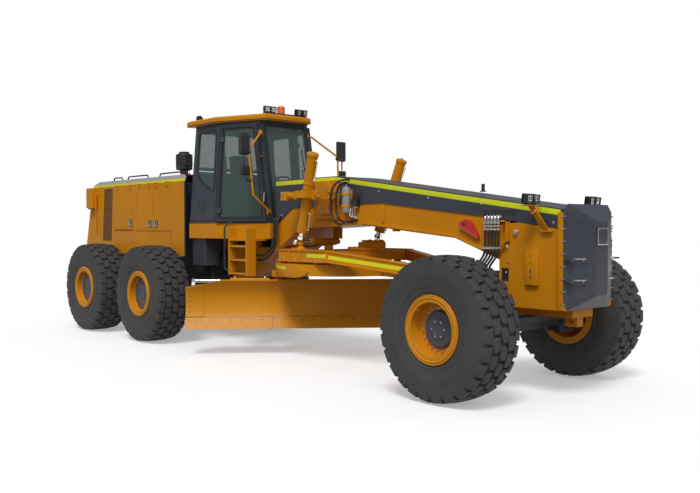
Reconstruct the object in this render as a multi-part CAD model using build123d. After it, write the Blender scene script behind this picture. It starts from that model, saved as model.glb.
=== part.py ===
from build123d import *
import os
from math import cos, radians, sin, sqrt

# Motor grader, in millimetres. Stations are measured from the front axle: x forward, y to the machine's
# left, z up. The wheel centres stand at AXLE_Z. On export the machine is moved so that its tyres stand
# on z = 0 and x = 0 lies at the middle of its length.

# ---- driving dimensions -------------------------------------------------------------------------------
WHEELBASE = 7690            # front axle to the tandem pivot
TANDEM_SPACING = 2120       # between the two axles of a tandem
TRACK_HALF = 1264           # centreline to the middle plane of a tyre
AXLE_Z = 808.5
TYRE_D = 1617
TYRE_WIDTH = 597
RIM_FLANGE_D = 762
RIM_SEAT_D = 635
RIM_WIDTH = 520
HINGE_TO_TANDEM = 1790      # articulation pin to the tandem pivot
CIRCLE_X = -3200            # centre of the circle
CIRCLE_R = 950
BLADE_LENGTH = 4300
BLADE_OFFSET = -180         # middle of the blade from the circle's centre, along the blade
BLADE_ANGLE = 52.3          # blade line from the x axis, seen from above
BLADE_GROUND_GAP = 400
CAB_HALF = 800              # half width of the cab at its rear wall
HOOD_HALF = 900
FRAME_HALF = 420            # half width of the front frame
RUN_GAP = 0.5               # running gap of pins, shafts and slides
SEAT_GAP = 0.4              # between pieces that rest on each other
MOVE_GAP = 5                # least gap between other pieces that move past each other
SKIN = 5                    # sheet metal
GLASS = 8

TANDEM_X = -WHEELBASE
HINGE_X = TANDEM_X + HINGE_TO_TANDEM
NOSE_FRONT_X = 1130
REAR_END_X = TANDEM_X - 2340
MID_LENGTH = -(NOSE_FRONT_X + REAR_END_X) / 2
ON_ROW = Pos(MID_LENGTH, 0, TYRE_D / 2 - AXLE_Z)
SIDES = (("right", -1), ("left", 1))
AXLES = (("front", 0), ("middle", TANDEM_X + TANDEM_SPACING / 2), ("rear", TANDEM_X - TANDEM_SPACING / 2))


# ---- helpers ------------------------------------------------------------------------------------------
def block(x, y, z):
    """Box from its three (low, high) pairs."""
    size = (x[1] - x[0], y[1] - y[0], z[1] - z[0])
    return Pos((x[0] + x[1]) / 2, (y[0] + y[1]) / 2, (z[0] + z[1]) / 2) * Box(*size)


def side_plate(outline, y0, y1):
    """Solid with an (x, z) outline, between y0 and y1."""
    wire = Polyline([(x, y0, z) for x, z in outline], close=True)
    return extrude(make_face(wire), amount=y1 - y0, dir=(0, 1, 0))


def floor_plate(outline, z0, z1):
    """Solid with an (x, y) outline, between z0 and z1."""
    wire = Polyline([(x, y, z0) for x, y in outline], close=True)
    return extrude(make_face(wire), amount=z1 - z0, dir=(0, 0, 1))


def round_bar(start, end, radius):
    run = Vector(end) - Vector(start)
    return extrude(Plane(origin=start, z_dir=run) * Circle(radius), run.length)


def bar(start, end, wide, deep, across=(0, 1, 0)):
    """Square bar; its wide side lies along across."""
    run = Vector(end) - Vector(start)
    return extrude(Plane(origin=start, x_dir=across, z_dir=run) * Rectangle(wide, deep), run.length)


def panel(corners, thick, out):
    """Flat sheet on the four corners, thickened towards out."""
    face = make_face(Polyline([tuple(c) for c in corners], close=True)).face()
    normal = face.normal_at()
    if normal.dot(Vector(out)) < 0:
        normal = -normal
    return extrude(face, amount=thick, dir=normal)


def joined(solids):
    total = solids[0]
    for solid in solids[1:]:
        total = total + solid
    return total


def both_sides(shape):
    return shape + mirror(shape, Plane.XZ)


def tube(points, radius, bends):
    """Round tube through the points with tangent arcs."""
    path = FilletPolyline(points, radius=bends)
    start = Plane(origin=path @ 0, z_dir=path % 0)
    return sweep(start * Circle(radius), path=path)


def on_blade(u, v, z):
    """Point u along the blade line, v in front of it and z up, from the centre of the circle."""
    a = radians(BLADE_ANGLE)
    return (CIRCLE_X + u * cos(a) + v * sin(a), u * sin(a) - v * cos(a), z)


def blade_plate(outline, u0, u1):
    """Solid with a (v, z) outline across the blade, from u0 to u1 along it."""
    wire = Polyline([on_blade(u0, v, z) for v, z in outline], close=True)
    return extrude(make_face(wire), amount=u1 - u0, dir=blade_dir())


def blade_dir():
    a = radians(BLADE_ANGLE)
    return (cos(a), sin(a), 0)


# ---- wheels -------------------------------------------------------------------------------------------
SEAT_R = RIM_SEAT_D / 2
FLANGE_R = RIM_FLANGE_D / 2
BARREL_IN_R = SEAT_R - 18
FLANGE_T = 15
FIT = 0.3                   # tyre bore over the rim seat
# axle group: disc's inner face from the middle plane (outwards), hub radius, shaft radius, hub length
WHEEL_KINDS = {
    "front": {"disc": 60, "hub_r": 150, "shaft_r": 60, "hub_len": 150},
    "middle": {"disc": 120, "hub_r": 170, "shaft_r": 70, "hub_len": 140},
    "rear": {"disc": 120, "hub_r": 170, "shaft_r": 70, "hub_len": 140},
}
DISC_T = 25
CAP_T = 40


def tyre():
    half = TYRE_WIDTH / 2
    bead = RIM_WIDTH / 2 - FLANGE_T - FIT
    crown = TYRE_D / 2
    shoulder = (half * 0.93, crown - 75)
    edge = (half * 0.89, crown - 22)
    bore = SEAT_R + FIT
    right = [
        Line((0, bore), (bead, bore)),
        Line((bead, bore), (bead, FLANGE_R + 6)),
        ThreePointArc((bead, FLANGE_R + 6), (half, (FLANGE_R + crown) / 2 - 40), shoulder),
        Line(shoulder, edge),
    ]
    left = [
        Line((-edge[0], edge[1]), (-shoulder[0], shoulder[1])),
        ThreePointArc((-shoulder[0], shoulder[1]), (-half, (FLANGE_R + crown) / 2 - 40), (-bead, FLANGE_R + 6)),
        Line((-bead, FLANGE_R + 6), (-bead, bore)),
        Line((-bead, bore), (0, bore)),
    ]
    tread = ThreePointArc(edge, (0, crown), (-edge[0], edge[1]))
    face = make_face(Curve() + [*right, tread, *left])
    # the outline's first axis becomes y, its second the radius
    return Rot(0, 0, 90) * revolve(face, Axis.X)


def rim(kind):
    half = RIM_WIDTH / 2
    ring = [(-half, BARREL_IN_R), (half, BARREL_IN_R), (half, FLANGE_R), (half - FLANGE_T, FLANGE_R),
            (half - FLANGE_T, SEAT_R), (-half + FLANGE_T, SEAT_R), (-half + FLANGE_T, FLANGE_R),
            (-half, FLANGE_R)]
    barrel = revolve(make_face(Polyline(ring, close=True)), Axis.X)
    disc_0 = kind["disc"]
    hub_0 = disc_0 + DISC_T - kind["hub_len"]
    cap = disc_0 + DISC_T + CAP_T
    bore_r = kind["shaft_r"] + RUN_GAP
    centre = [(disc_0, BARREL_IN_R + 5), (disc_0, kind["hub_r"]), (hub_0, kind["hub_r"]), (hub_0, bore_r),
              (disc_0 + DISC_T, bore_r), (disc_0 + DISC_T, 0), (cap, 0), (cap, kind["hub_r"]),
              (disc_0 + DISC_T, kind["hub_r"]), (disc_0 + DISC_T, BARREL_IN_R + 5)]
    hub = revolve(make_face(Polyline(centre, close=True)), Axis.X)
    return Rot(0, 0, 90) * (barrel + hub)


def wheel_place(x, side):
    turn = Rot(0, 0, 0) if side > 0 else Rot(0, 0, 180)
    return Pos(x, side * TRACK_HALF, AXLE_Z) * turn


def shaft_end(kind):
    """|y| where a wheel shaft ends inside its hub."""
    return TRACK_HALF + kind["disc"] + DISC_T - MOVE_GAP


# ---- front axle ---------------------------------------------------------------------------------------
KINGPIN_Y = 1030
LEAN_Y = 945
LEAN_Z = AXLE_Z - 158.5
LEAN_BAR_Z = LEAN_Z + 170
LEAN_BAR_X = 170
LEAN_BAR_HALF = 42
TIE_PIN_R = 12.5
TIE_EYE_R, TIE_ROD_R = 36, 18.5
BEAM_HALF = 90              # half thickness of the axle beam, fore and aft
PIN_R = 30
ARM_X = -230                # tie rod pins, behind the axle
ARM_Y = KINGPIN_Y            # so that the tie rod stays square to both arms
TIE_Z = AXLE_Z - 93.5
KNUCKLE_H = 110
KNUCKLE_R = 62


def front_axle():
    beam = block((-BEAM_HALF, BEAM_HALF), (0, 790), (AXLE_Z - 108.5, AXLE_Z + 91.5))
    swell = block((-BEAM_HALF - 40, BEAM_HALF + 40), (0, 260), (AXLE_Z - 118.5, AXLE_Z + 91.5))
    ears = [block((s * (BEAM_HALF + 5) - (35 if s < 0 else 0), s * (BEAM_HALF + 5) + (35 if s > 0 else 0)),
                  (740, LEAN_Y + 40), (LEAN_Z - 45, LEAN_Z + 120)) for s in (-1, 1)]
    tie = block((-BEAM_HALF - 40, BEAM_HALF + 40), (740, 790), (LEAN_Z + 40, AXLE_Z + 91.5))
    pin = round_bar((-BEAM_HALF - 40, LEAN_Y, LEAN_Z), (BEAM_HALF + 40, LEAN_Y, LEAN_Z), PIN_R)
    return both_sides(joined([beam, swell, tie, *ears, pin]))


def lean_bracket():
    """Left-hand bracket between the axle's lean pin and the kingpin."""
    x = (-BEAM_HALF, BEAM_HALF)
    lug = block(x, (905, 965), (LEAN_Z - 45, LEAN_Z + 40))
    back = block((-42, 42), (905, 960), (LEAN_Z, AXLE_Z + 200))
    ears = [block((-70, 70), (905, KINGPIN_Y + 60), z) for z in
            ((AXLE_Z + KNUCKLE_H + MOVE_GAP, AXLE_Z + 165), (AXLE_Z - 165, AXLE_Z - KNUCKLE_H - MOVE_GAP))]
    pin = round_bar((0, KINGPIN_Y, AXLE_Z - 165), (0, KINGPIN_Y, AXLE_Z + 175), PIN_R)
    bar_pin = round_bar((0, LEAN_Y, LEAN_BAR_Z), (LEAN_BAR_X + 25, LEAN_Y, LEAN_BAR_Z), 18)
    solid = joined([lug, back, *ears, pin, bar_pin])
    bore = round_bar((-200, LEAN_Y, LEAN_Z), (200, LEAN_Y, LEAN_Z), PIN_R + RUN_GAP)
    return solid - bore


def knuckle():
    """Left-hand steering knuckle with its wheel shaft and tie rod arm."""
    kind = WHEEL_KINDS["front"]
    z = (AXLE_Z - KNUCKLE_H, AXLE_Z + KNUCKLE_H)
    body = block((-KNUCKLE_R, KNUCKLE_R), (KINGPIN_Y, KINGPIN_Y + 65), z)
    body = body + round_bar((0, KINGPIN_Y, z[0]), (0, KINGPIN_Y, z[1]), KNUCKLE_R)
    shaft = round_bar((0, KINGPIN_Y + 40, AXLE_Z), (0, shaft_end(kind), AXLE_Z), kind["shaft_r"])
    arm = block((ARM_X - 40, -60), (ARM_Y - 20, ARM_Y + 45), (AXLE_Z - 18.5, AXLE_Z + 21.5))
    bore = round_bar((0, KINGPIN_Y, AXLE_Z - 200), (0, KINGPIN_Y, AXLE_Z + 200), PIN_R + RUN_GAP)
    return joined([body, shaft, arm]) - bore


def tie_rod_stud():
    stud = round_bar((ARM_X, -ARM_Y, TIE_Z - 20), (ARM_X, -ARM_Y, AXLE_Z - 18.5 - RUN_GAP), TIE_PIN_R)
    return stud + Pos(ARM_X, -ARM_Y, TIE_Z) * Sphere(22)


def tie_rod():
    eye = round_bar((ARM_X, -ARM_Y, TIE_Z - 24), (ARM_X, -ARM_Y, TIE_Z + 24), TIE_EYE_R)
    far_eye = round_bar((ARM_X, ARM_Y, TIE_Z - 24), (ARM_X, ARM_Y, TIE_Z + 24), TIE_EYE_R)
    rod = round_bar((ARM_X, -ARM_Y + 25, TIE_Z), (ARM_X, ARM_Y - 10, TIE_Z), TIE_ROD_R)
    hollow = round_bar((ARM_X, -ARM_Y, TIE_Z - 30), (ARM_X, -ARM_Y, TIE_Z + 30), 22 + RUN_GAP)
    return joined([eye, far_eye, rod]) - hollow


def lean_bar():
    x = (LEAN_BAR_X - 20, LEAN_BAR_X + 20)
    beam = block(x, (-LEAN_Y, LEAN_Y), (LEAN_BAR_Z - LEAN_BAR_HALF, LEAN_BAR_Z + LEAN_BAR_HALF))
    rounds = [round_bar((x[0], s * LEAN_Y, LEAN_BAR_Z), (x[1], s * LEAN_Y, LEAN_BAR_Z), LEAN_BAR_HALF) for s in (-1, 1)]
    solid = joined([beam, *rounds])
    for s in (-1, 1):
        solid = solid - round_bar((0, s * LEAN_Y, LEAN_BAR_Z), (400, s * LEAN_Y, LEAN_BAR_Z), 18 + RUN_GAP)
    return solid


# ---- front frame --------------------------------------------------------------------------------------
POST_X = (65, 955)          # upright box over the front axle
POST_BOTTOM_Z = 1010
POST_HALF = 432
BALL_X, BALL_Z = -200, 1250     # drawbar ball
GIRDER_HALF = 300
HINGE_PIN_R = 60
HINGE_EAR_R = 150
CAB_FLOOR_Z = 1980
SKIRT_Z = 1740
FRONT_EARS_Z = ((1105, 1165), (1480, 1540))
REAR_EARS_Z = tuple((low - MOVE_GAP - 70, low - MOVE_GAP) for low, high in FRONT_EARS_Z)

COVER_REAR_X = HINGE_X + 1660
COVER_HALF = FRAME_HALF + 12
COVER_LINE = [(345, 1975), (-84, 2036), (-1940, 2241), (COVER_REAR_X + 400, 2200), (COVER_REAR_X, 1950)]
FRAME_TOP = [(890, 2120), (-2830, 2640), (COVER_REAR_X, 2630)]


def front_frame():
    low_front = [(POST_X[0] - SEAT_GAP, 1540), (-620, 1786), (-2300, 1950), (-3000, 1930), (-3660, 1900)]
    low_rear = [(HINGE_X + 900, 1120), (HINGE_X + 260, 1060), (HINGE_X + 260, 1600), (COVER_REAR_X - 40, 1600)]
    beam = side_plate([(POST_X[0] - SEAT_GAP, 1960), *COVER_LINE[1:], *reversed(low_rear[3:]), (HINGE_X + 1300, 1365),
                       *reversed(low_front)], -FRAME_HALF, FRAME_HALF)
    girder = side_plate([(COVER_REAR_X - 40, 1600), (HINGE_X + 260, 1600), (HINGE_X + 260, 1060),
                         (HINGE_X + 900, 1120), (HINGE_X + 1300, 1365), (COVER_REAR_X + 100, 1600)],
                        -GIRDER_HALF, GIRDER_HALF)
    ears = []
    for low, high in FRONT_EARS_Z:
        plate = block((HINGE_X, HINGE_X + 300), (-HINGE_EAR_R, HINGE_EAR_R), (low, high))
        ears.append(plate + round_bar((HINGE_X, 0, low), (HINGE_X, 0, high), HINGE_EAR_R))
    solid = joined([beam, girder, *ears])
    return solid - round_bar((HINGE_X, 0, 900), (HINGE_X, 0, 1700), HINGE_PIN_R + RUN_GAP)


def frame_cover():
    """Dark cover along the top of the frame."""
    lower = [(x, z + SEAT_GAP) for x, z in COVER_LINE]
    front = [(POST_X[1], 1890), (POST_X[1], 2110)]
    outline = [*front, *FRAME_TOP[1:], (COVER_REAR_X, COVER_LINE[-1][1] + SEAT_GAP), *reversed(lower[:-1])]
    return side_plate(outline, -COVER_HALF, COVER_HALF)


def front_post():
    outline = [(POST_X[0], POST_BOTTOM_Z), (POST_X[1], POST_BOTTOM_Z), (POST_X[1], 1885), (345, 1970),
               (POST_X[0], 1955)]
    box_post = side_plate(outline, -POST_HALF, POST_HALF)
    lugs = [block((BALL_X - 70, POST_X[0]), (-75, 75), z) for z in
            ((BALL_Z + 75, BALL_Z + 115), (BALL_Z - 115, BALL_Z - 75))]
    bore = round_bar((BALL_X, 0, BALL_Z - 200), (BALL_X, 0, BALL_Z + 200), 35 + RUN_GAP)
    return joined([box_post, *lugs]) - bore


TOW_X, TOW_Z, TOW_BORE_R = 780, 866, 32.5


def axle_mount():
    """Trunnion block that hangs the front axle under the post."""
    saddle = block((60, POST_X[1] - 60), (-200, 200), (POST_BOTTOM_Z - 100, POST_BOTTOM_Z))
    chin = block((-130, 130), (-190, 190), (AXLE_Z + 91.5, POST_BOTTOM_Z - 0.5))
    foot = block((TOW_X - 80, TOW_X + 80), (-60, 60), (TOW_Z - 65, POST_BOTTOM_Z - 80))
    tow_bore = round_bar((TOW_X, -100, TOW_Z), (TOW_X, 100, TOW_Z), TOW_BORE_R)
    return joined([saddle, chin, foot]) - tow_bore


def nose_cover():
    x0, x1 = POST_X[1] + SEAT_GAP, NOSE_FRONT_X
    rear = [(480, 1100), (480, 2080), (400, 2170), (-400, 2170), (-480, 2080), (-480, 1100), (-400, 1010), (400, 1010)]
    front = [(120, 1200), (120, 1950), (95, 1980), (-95, 1980), (-120, 1950), (-120, 1200), (-95, 1170), (95, 1170)]
    faces = [make_face(Polyline([(x, y, z) for y, z in pts], close=True)) for x, pts in ((x0, rear), (x1, front))]
    return loft(faces, ruled=True)


def emblem_plate():
    return block((NOSE_FRONT_X + 0.3, NOSE_FRONT_X + 10), (-95, 95), (1730, 1900))


def nose_steps():
    """Two small treads on each slanted side of the nose."""
    steps = []
    for z in (1330, 1560):
        tread = block((975, 1050), (395, 500), (z, z + 18))
        steps.append(tread)
    return both_sides(joined(steps)) - nose_cover()


# ---- drawbar, circle and blade ------------------------------------------------------------------------
DRAW_LOW_Z, DRAW_TOP_Z = 1430, 1600
DRAW_Y = 780                # centre of the drawbar's side legs at the rear
LEG_WIDE = 130
LIFT_BALL = (CIRCLE_X - 35, 742, 1690)
LIFT_BALL_R = 45
RING_Z = (1240, 1400)
RING_IN_R = CIRCLE_R - 150
PAD_T = DRAW_LOW_Z - RING_Z[1] - RUN_GAP
SHIFT_LUG = (CIRCLE_X - 200, -700)


def drawbar_swivel():
    """Block on the upright pin, with the cross pin that carries the drawbar."""
    core = block((BALL_X - 50, BALL_X + 50), (-50, 50), (BALL_Z - 70, BALL_Z + 70))
    pin = round_bar((BALL_X, 0, BALL_Z - 125), (BALL_X, 0, BALL_Z + 125), 35)
    cross = round_bar((BALL_X, -120, BALL_Z), (BALL_X, 120, BALL_Z), 30)
    return joined([core, pin, cross])


def drawbar():
    legs = []
    neck_x = BALL_X - 180
    wide_x = CIRCLE_X + 620
    rear_x = CIRCLE_X - 420
    legs.append(bar((BALL_X - 60, 87, BALL_Z), (neck_x - 60, 87, BALL_Z), 60, 110))
    legs.append(bar((neck_x, 90, BALL_Z), (wide_x, DRAW_Y, 1515), LEG_WIDE, 150))
    legs.append(block((rear_x, wide_x + 40), (DRAW_Y - LEG_WIDE / 2, DRAW_Y + LEG_WIDE / 2), (DRAW_LOW_Z, DRAW_TOP_Z)))
    legs.append(round_bar((BALL_X, 57, BALL_Z), (BALL_X, 117, BALL_Z), 62))
    legs.append(block((BALL_X - 100, BALL_X), (57, 117), (BALL_Z - 55, BALL_Z + 55)))
    legs.append(round_bar((LIFT_BALL[0], LIFT_BALL[1], DRAW_TOP_Z - 5), LIFT_BALL, 28))
    legs.append(Pos(*LIFT_BALL) * Sphere(LIFT_BALL_R))
    pad_at = CIRCLE_R - 75
    for x in (CIRCLE_X + 380, CIRCLE_X - 380):
        y = sqrt(pad_at ** 2 - 380 ** 2)
        legs.append(round_bar((x, y, DRAW_LOW_Z - PAD_T), (x, y, DRAW_LOW_Z + 20), 55))
    half = both_sides(joined(legs))
    crosses = [block((x - 70, x + 70), (-DRAW_Y, DRAW_Y), (DRAW_LOW_Z + 15, DRAW_TOP_Z - 15))
               for x in (CIRCLE_X + 560, CIRCLE_X - 300)]
    mount = block((CIRCLE_X + 300, CIRCLE_X + 780), (-270, 270), (DRAW_LOW_Z + 5, DRAW_LOW_Z + 105))
    lug = block((SHIFT_LUG[0] - 30, SHIFT_LUG[0] + 30), (SHIFT_LUG[1] - 60, SHIFT_LUG[1] + 60),
                (DRAW_TOP_Z - 20, DRAW_TOP_Z + 25))
    solid = joined([half, *crosses, mount, lug])
    solid = solid - round_bar((BALL_X, -200, BALL_Z), (BALL_X, 200, BALL_Z), 30 + RUN_GAP)
    return solid - block((BALL_X - 61, BALL_X + 90), (-56, 56), (BALL_Z - 130, BALL_Z + 130))


def circle_gearbox():
    x = CIRCLE_X + 530
    base = DRAW_LOW_Z + 105
    case = round_bar((x, 0, base), (x, 0, base + 100), 235) + round_bar((x, 0, base + 100), (x, 0, base + 165), 110)
    motor = round_bar((x + 80, 0, base + 130), (x + 330, 0, base + 130), 70)
    neck = block((x + 60, x + 200), (-60, 60), (base + 60, base + 130))
    return joined([case, motor, neck]) - drawbar()


ARM_U = (900, 1020)
TIP_V, TIP_Z = -580, 650    # pin on which the blade tips
ARM_TOP_Z = 1255


def circle():
    ring = round_bar((CIRCLE_X, 0, RING_Z[0]), (CIRCLE_X, 0, RING_Z[1]), CIRCLE_R)
    ring = ring - round_bar((CIRCLE_X, 0, 1000), (CIRCLE_X, 0, 1500), RING_IN_R)
    solids = [ring]
    leg = [(-750, ARM_TOP_Z), (-480, ARM_TOP_Z), (-500, 1100), (-515, 950), (-515, TIP_Z - 20), (-540, TIP_Z - 65),
           (-620, TIP_Z - 65), (-660, TIP_Z), (-750, 1040)]
    for side in (-1, 1):
        u0, u1 = sorted((side * ARM_U[0], side * ARM_U[1]))
        in0, in1 = sorted((side * 620, side * (ARM_U[1] + 20)))
        solids.append(blade_plate(leg, u0, u1))
        solids.append(blade_plate([(-740, 1165), (-380, 1165), (-380, ARM_TOP_Z), (-740, ARM_TOP_Z)], in0, in1))
    solid = joined(solids)
    pin_hole = round_bar(on_blade(-1200, TIP_V, TIP_Z), on_blade(1200, TIP_V, TIP_Z), 35 + RUN_GAP)
    return solid - pin_hole


EDGE_V = -166               # cutting edge line in front of the circle's centre
BOARD_T = 25
BOARD_R = 470
BOARD_LOW, BOARD_HIGH = 30, 42      # angles of the board's arc below and above level
EDGE_H = 190
EDGE_BOTTOM = (EDGE_V, BLADE_GROUND_GAP)
ARC_LOW = (EDGE_V - EDGE_H * sin(radians(BOARD_LOW)), BLADE_GROUND_GAP + EDGE_H * cos(radians(BOARD_LOW)))
ARC_C = (ARC_LOW[0] + BOARD_R * cos(radians(BOARD_LOW)), ARC_LOW[1] + BOARD_R * sin(radians(BOARD_LOW)))
RAIL_V = (-420, -290)
LOW_RAIL_Z = (ARC_C[1] - 130, ARC_C[1] - 70)
HIGH_RAIL_Z = (ARC_C[1] + 170, ARC_C[1] + 230)
END_DROP = 95
END_BIT = 170


def arc_point(radius, angle):
    return (ARC_C[0] - radius * cos(radians(angle)), ARC_C[1] + radius * sin(radians(angle)))


def blade_span():
    """u of the blade's right and left ends."""
    return (BLADE_OFFSET - BLADE_LENGTH / 2, BLADE_OFFSET + BLADE_LENGTH / 2)


def moldboard():
    right, left = blade_span()
    front = [arc_point(BOARD_R, a) for a in (-BOARD_LOW, 6, BOARD_HIGH)]
    back = [arc_point(BOARD_R + BOARD_T, a) for a in (BOARD_HIGH, 6, -BOARD_LOW)]
    pts = [[on_blade(right, v, z) for v, z in part] for part in (front, back)]
    edges = [ThreePointArc(*pts[0]), Line(pts[0][2], pts[1][0]), ThreePointArc(*pts[1]), Line(pts[1][2], pts[0][0])]
    solids = [extrude(make_face(Curve() + edges), amount=BLADE_LENGTH, dir=blade_dir())]
    for z in (LOW_RAIL_Z, HIGH_RAIL_Z):
        rail = [(RAIL_V[0], z[0]), (RAIL_V[1] - 25, z[0]), (RAIL_V[1] - 25, z[1]), (RAIL_V[0], z[1])]
        solids.append(blade_plate(rail, right + 250, left - 250))
    solid = joined(solids)
    hollow = round_bar(on_blade(right - 10, *ARC_C), on_blade(left + 10, *ARC_C), BOARD_R)
    solid = solid - hollow
    top = arc_point(BOARD_R, BOARD_HIGH)[1]
    for end, inward in ((right, 1), (left, -1)):
        tips = [on_blade(end + inward * 520, -600, top + 60), on_blade(end + inward * 520, -600, top + 1),
                on_blade(end - inward * 10, -600, top - END_DROP), on_blade(end - inward * 10, -600, top + 60)]
        cut = extrude(make_face(Polyline(tips, close=True)), amount=600, dir=blade_front())
        solid = solid - cut
    return solid


def blade_front():
    a = radians(BLADE_ANGLE)
    return (sin(a), -cos(a), 0)


def edge_outline(thick, rise):
    """(v, z) outline of a slanted edge plate on the board's lower end."""
    s, c = sin(radians(BOARD_LOW)), cos(radians(BOARD_LOW))
    low, high = EDGE_BOTTOM, (EDGE_V - rise * s, BLADE_GROUND_GAP + rise * c)
    return [low, high, (high[0] - thick * c, high[1] - thick * s), (low[0] - thick * c * 0.6, low[1])]


def cutting_edge():
    right, left = blade_span()
    return blade_plate(edge_outline(BOARD_T, EDGE_H - 0.3), right + END_BIT, left - END_BIT)


def end_bits():
    right, left = blade_span()
    wide = END_BIT - SEAT_GAP
    bits = [blade_plate(edge_outline(BOARD_T, EDGE_H - 0.3), u, u + wide) for u in (right, left - wide)]
    return bits[0] + bits[1]


def tip_frame():
    """Frame that pivots on the circle's arms and holds the blade's rails."""
    solids = []
    shoe_v = RAIL_V[0] - RUN_GAP
    for side in (-1, 1):
        for u in (ARM_U[0] - 35, ARM_U[1] + 10):
            u0, u1 = sorted((side * u, side * (u + 25)))
            cheek = [(TIP_V - 60, TIP_Z - 60), (TIP_V + 60, TIP_Z - 70), (shoe_v - 5, LOW_RAIL_Z[0] - 30),
                     (shoe_v - 5, HIGH_RAIL_Z[1] + 20), (shoe_v - 45, HIGH_RAIL_Z[1] + 20), (TIP_V - 20, TIP_Z + 60)]
            solids.append(blade_plate(cheek, u0, u1))
        u0, u1 = sorted((side * (ARM_U[0] - 35), side * (ARM_U[1] + 35)))
        solids.append(round_bar(on_blade(u0, TIP_V, TIP_Z), on_blade(u1, TIP_V, TIP_Z), 35))
        for low, high in (LOW_RAIL_Z, HIGH_RAIL_Z):
            solids.append(blade_plate([(shoe_v - 30, low - 25), (shoe_v, low - 25), (shoe_v, high + 25),
                                       (shoe_v - 30, high + 25)], u0, u1))
            for z0, z1 in ((low - 25, low - RUN_GAP), (high + RUN_GAP, high + 25)):
                solids.append(blade_plate([(shoe_v - 1, z0), (shoe_v + 40, z0), (shoe_v + 40, z1), (shoe_v - 1, z1)],
                                          u0, u1))
    z = LOW_RAIL_Z[1] + 60
    solids.append(blade_plate([(shoe_v - 45, z), (shoe_v - 5, z), (shoe_v - 5, z + 80), (shoe_v - 45, z + 80)],
                              -ARM_U[1], ARM_U[1]))
    return joined(solids)


SHIFT_V, SHIFT_Z = -430, ARC_C[1] + 305
SHIFT_BARREL_U = (-1670, -ARM_U[1] - 60)
SHIFT_EYE_U = BLADE_OFFSET - BLADE_LENGTH / 2 + 110


def side_shift_barrel():
    u0, u1 = SHIFT_BARREL_U
    barrel = round_bar(on_blade(u1, SHIFT_V, SHIFT_Z), on_blade(u0, SHIFT_V, SHIFT_Z), 40)
    foot_v = (RAIL_V[0] - RUN_GAP - 45, RAIL_V[0] - MOVE_GAP)
    foot_z = (HIGH_RAIL_Z[1] - 80, SHIFT_Z)
    foot = blade_plate([(foot_v[0], foot_z[0]), (foot_v[1], foot_z[0]), (foot_v[1], foot_z[1]), (foot_v[0], foot_z[1])],
                       -ARM_U[1] - 110, -ARM_U[1] - 35 - SEAT_GAP)
    bore = round_bar(on_blade(u0 - 10, SHIFT_V, SHIFT_Z), on_blade(u1 - 30, SHIFT_V, SHIFT_Z), 22 + RUN_GAP)
    return barrel + foot - bore


def side_shift_rod():
    rod = round_bar(on_blade(SHIFT_BARREL_U[0] + 285, SHIFT_V, SHIFT_Z), on_blade(SHIFT_EYE_U, SHIFT_V, SHIFT_Z), 22)
    lug_z = HIGH_RAIL_Z[0]
    lug = blade_plate([(SHIFT_V - 30, SHIFT_Z - 40), (-345, lug_z), (-345, lug_z + 120), (SHIFT_V + 35, SHIFT_Z + 35),
                       (SHIFT_V - 30, SHIFT_Z + 35)], SHIFT_EYE_U - 25, SHIFT_EYE_U + 25)
    return (rod + lug) - moldboard()


# ---- lift and centre-shift cylinders ------------------------------------------------------------------
LIFT_TOP = (-2810, 860, 2940)
TRUNNION = (CIRCLE_X + 200, 810, 2370)
LIFT_BARREL_END_Z = 1850
LIFT_BARREL_R, LIFT_ROD_R = 75, 40
CAP_GAP = 22                # open joint between a lift rod's cap and its ball


def lift_point(z):
    """Point of the left lift cylinder's centre line at height z."""
    t = (z - TRUNNION[2]) / (LIFT_BALL[2] - TRUNNION[2])
    return tuple(a + (b - a) * t for a, b in zip(TRUNNION, LIFT_BALL))


def lift_barrel():
    barrel = round_bar(lift_point(LIFT_BARREL_END_Z), lift_point(LIFT_TOP[2]), LIFT_BARREL_R)
    collar = round_bar(lift_point(TRUNNION[2] - 45), lift_point(TRUNNION[2] + 45), 95)
    x, y, z = TRUNNION
    pins = round_bar((x, y - 150, z), (x, y + 150, z), 28)
    head = round_bar(lift_point(LIFT_BARREL_END_Z), lift_point(LIFT_BARREL_END_Z + 90), 84)
    bore = round_bar(lift_point(LIFT_BARREL_END_Z - 10), lift_point(LIFT_TOP[2] - 40), LIFT_ROD_R + RUN_GAP)
    return joined([barrel, collar, pins, head]) - bore


def lift_rod():
    run = Vector(LIFT_BALL) - Vector(TRUNNION)
    unit = run.normalized()
    cap_end = Vector(LIFT_BALL) - unit * (LIFT_BALL_R + CAP_GAP)
    cap = round_bar(tuple(cap_end - unit * 45), tuple(cap_end), 58)
    return round_bar(lift_point(LIFT_TOP[2] - 330), tuple(cap_end - unit * 20), LIFT_ROD_R) + cap


def yoke_ring():
    """Ring that turns fore and aft pins in the bracket and carries the barrel's side pins."""
    x, y, z = TRUNNION
    ring = block((x - 150, x + 150), (y - 150, y + 150), (z - 45, z + 45))
    ring = ring - block((x - 112, x + 112), (y - 112, y + 112), (z - 60, z + 60))
    ring = ring - round_bar((x, y - 200, z), (x, y + 200, z), 28 + RUN_GAP)
    pins = [round_bar((x + s * 130, y, z), (x + s * 215, y, z), 28) for s in (-1, 1)]
    return joined([ring, *pins])


BRACKET_Y = COVER_HALF + SEAT_GAP


def lift_brackets():
    x, y, z = TRUNNION
    solids = []
    for s in (-1, 1):
        low, high = sorted((x + s * 160, x + s * 210))
        arm = block((low, high), (BRACKET_Y, y + 60), (z - 65, z + 65))
        solids.append(arm - round_bar((x - 300, y, z), (x + 300, y, z), 28 + RUN_GAP))
    solids.append(block((x - 260, x + 260), (BRACKET_Y, BRACKET_Y + 32), (z - 330, z + 210)))
    solids.append(round_bar((x - 560, y - 90, z), (x - 208, y - 90, z), 45))
    solids.append(block((x - 600, x - 540), (BRACKET_Y, y - 50), (z - 50, z + 50)))
    return both_sides(joined(solids))


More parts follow.
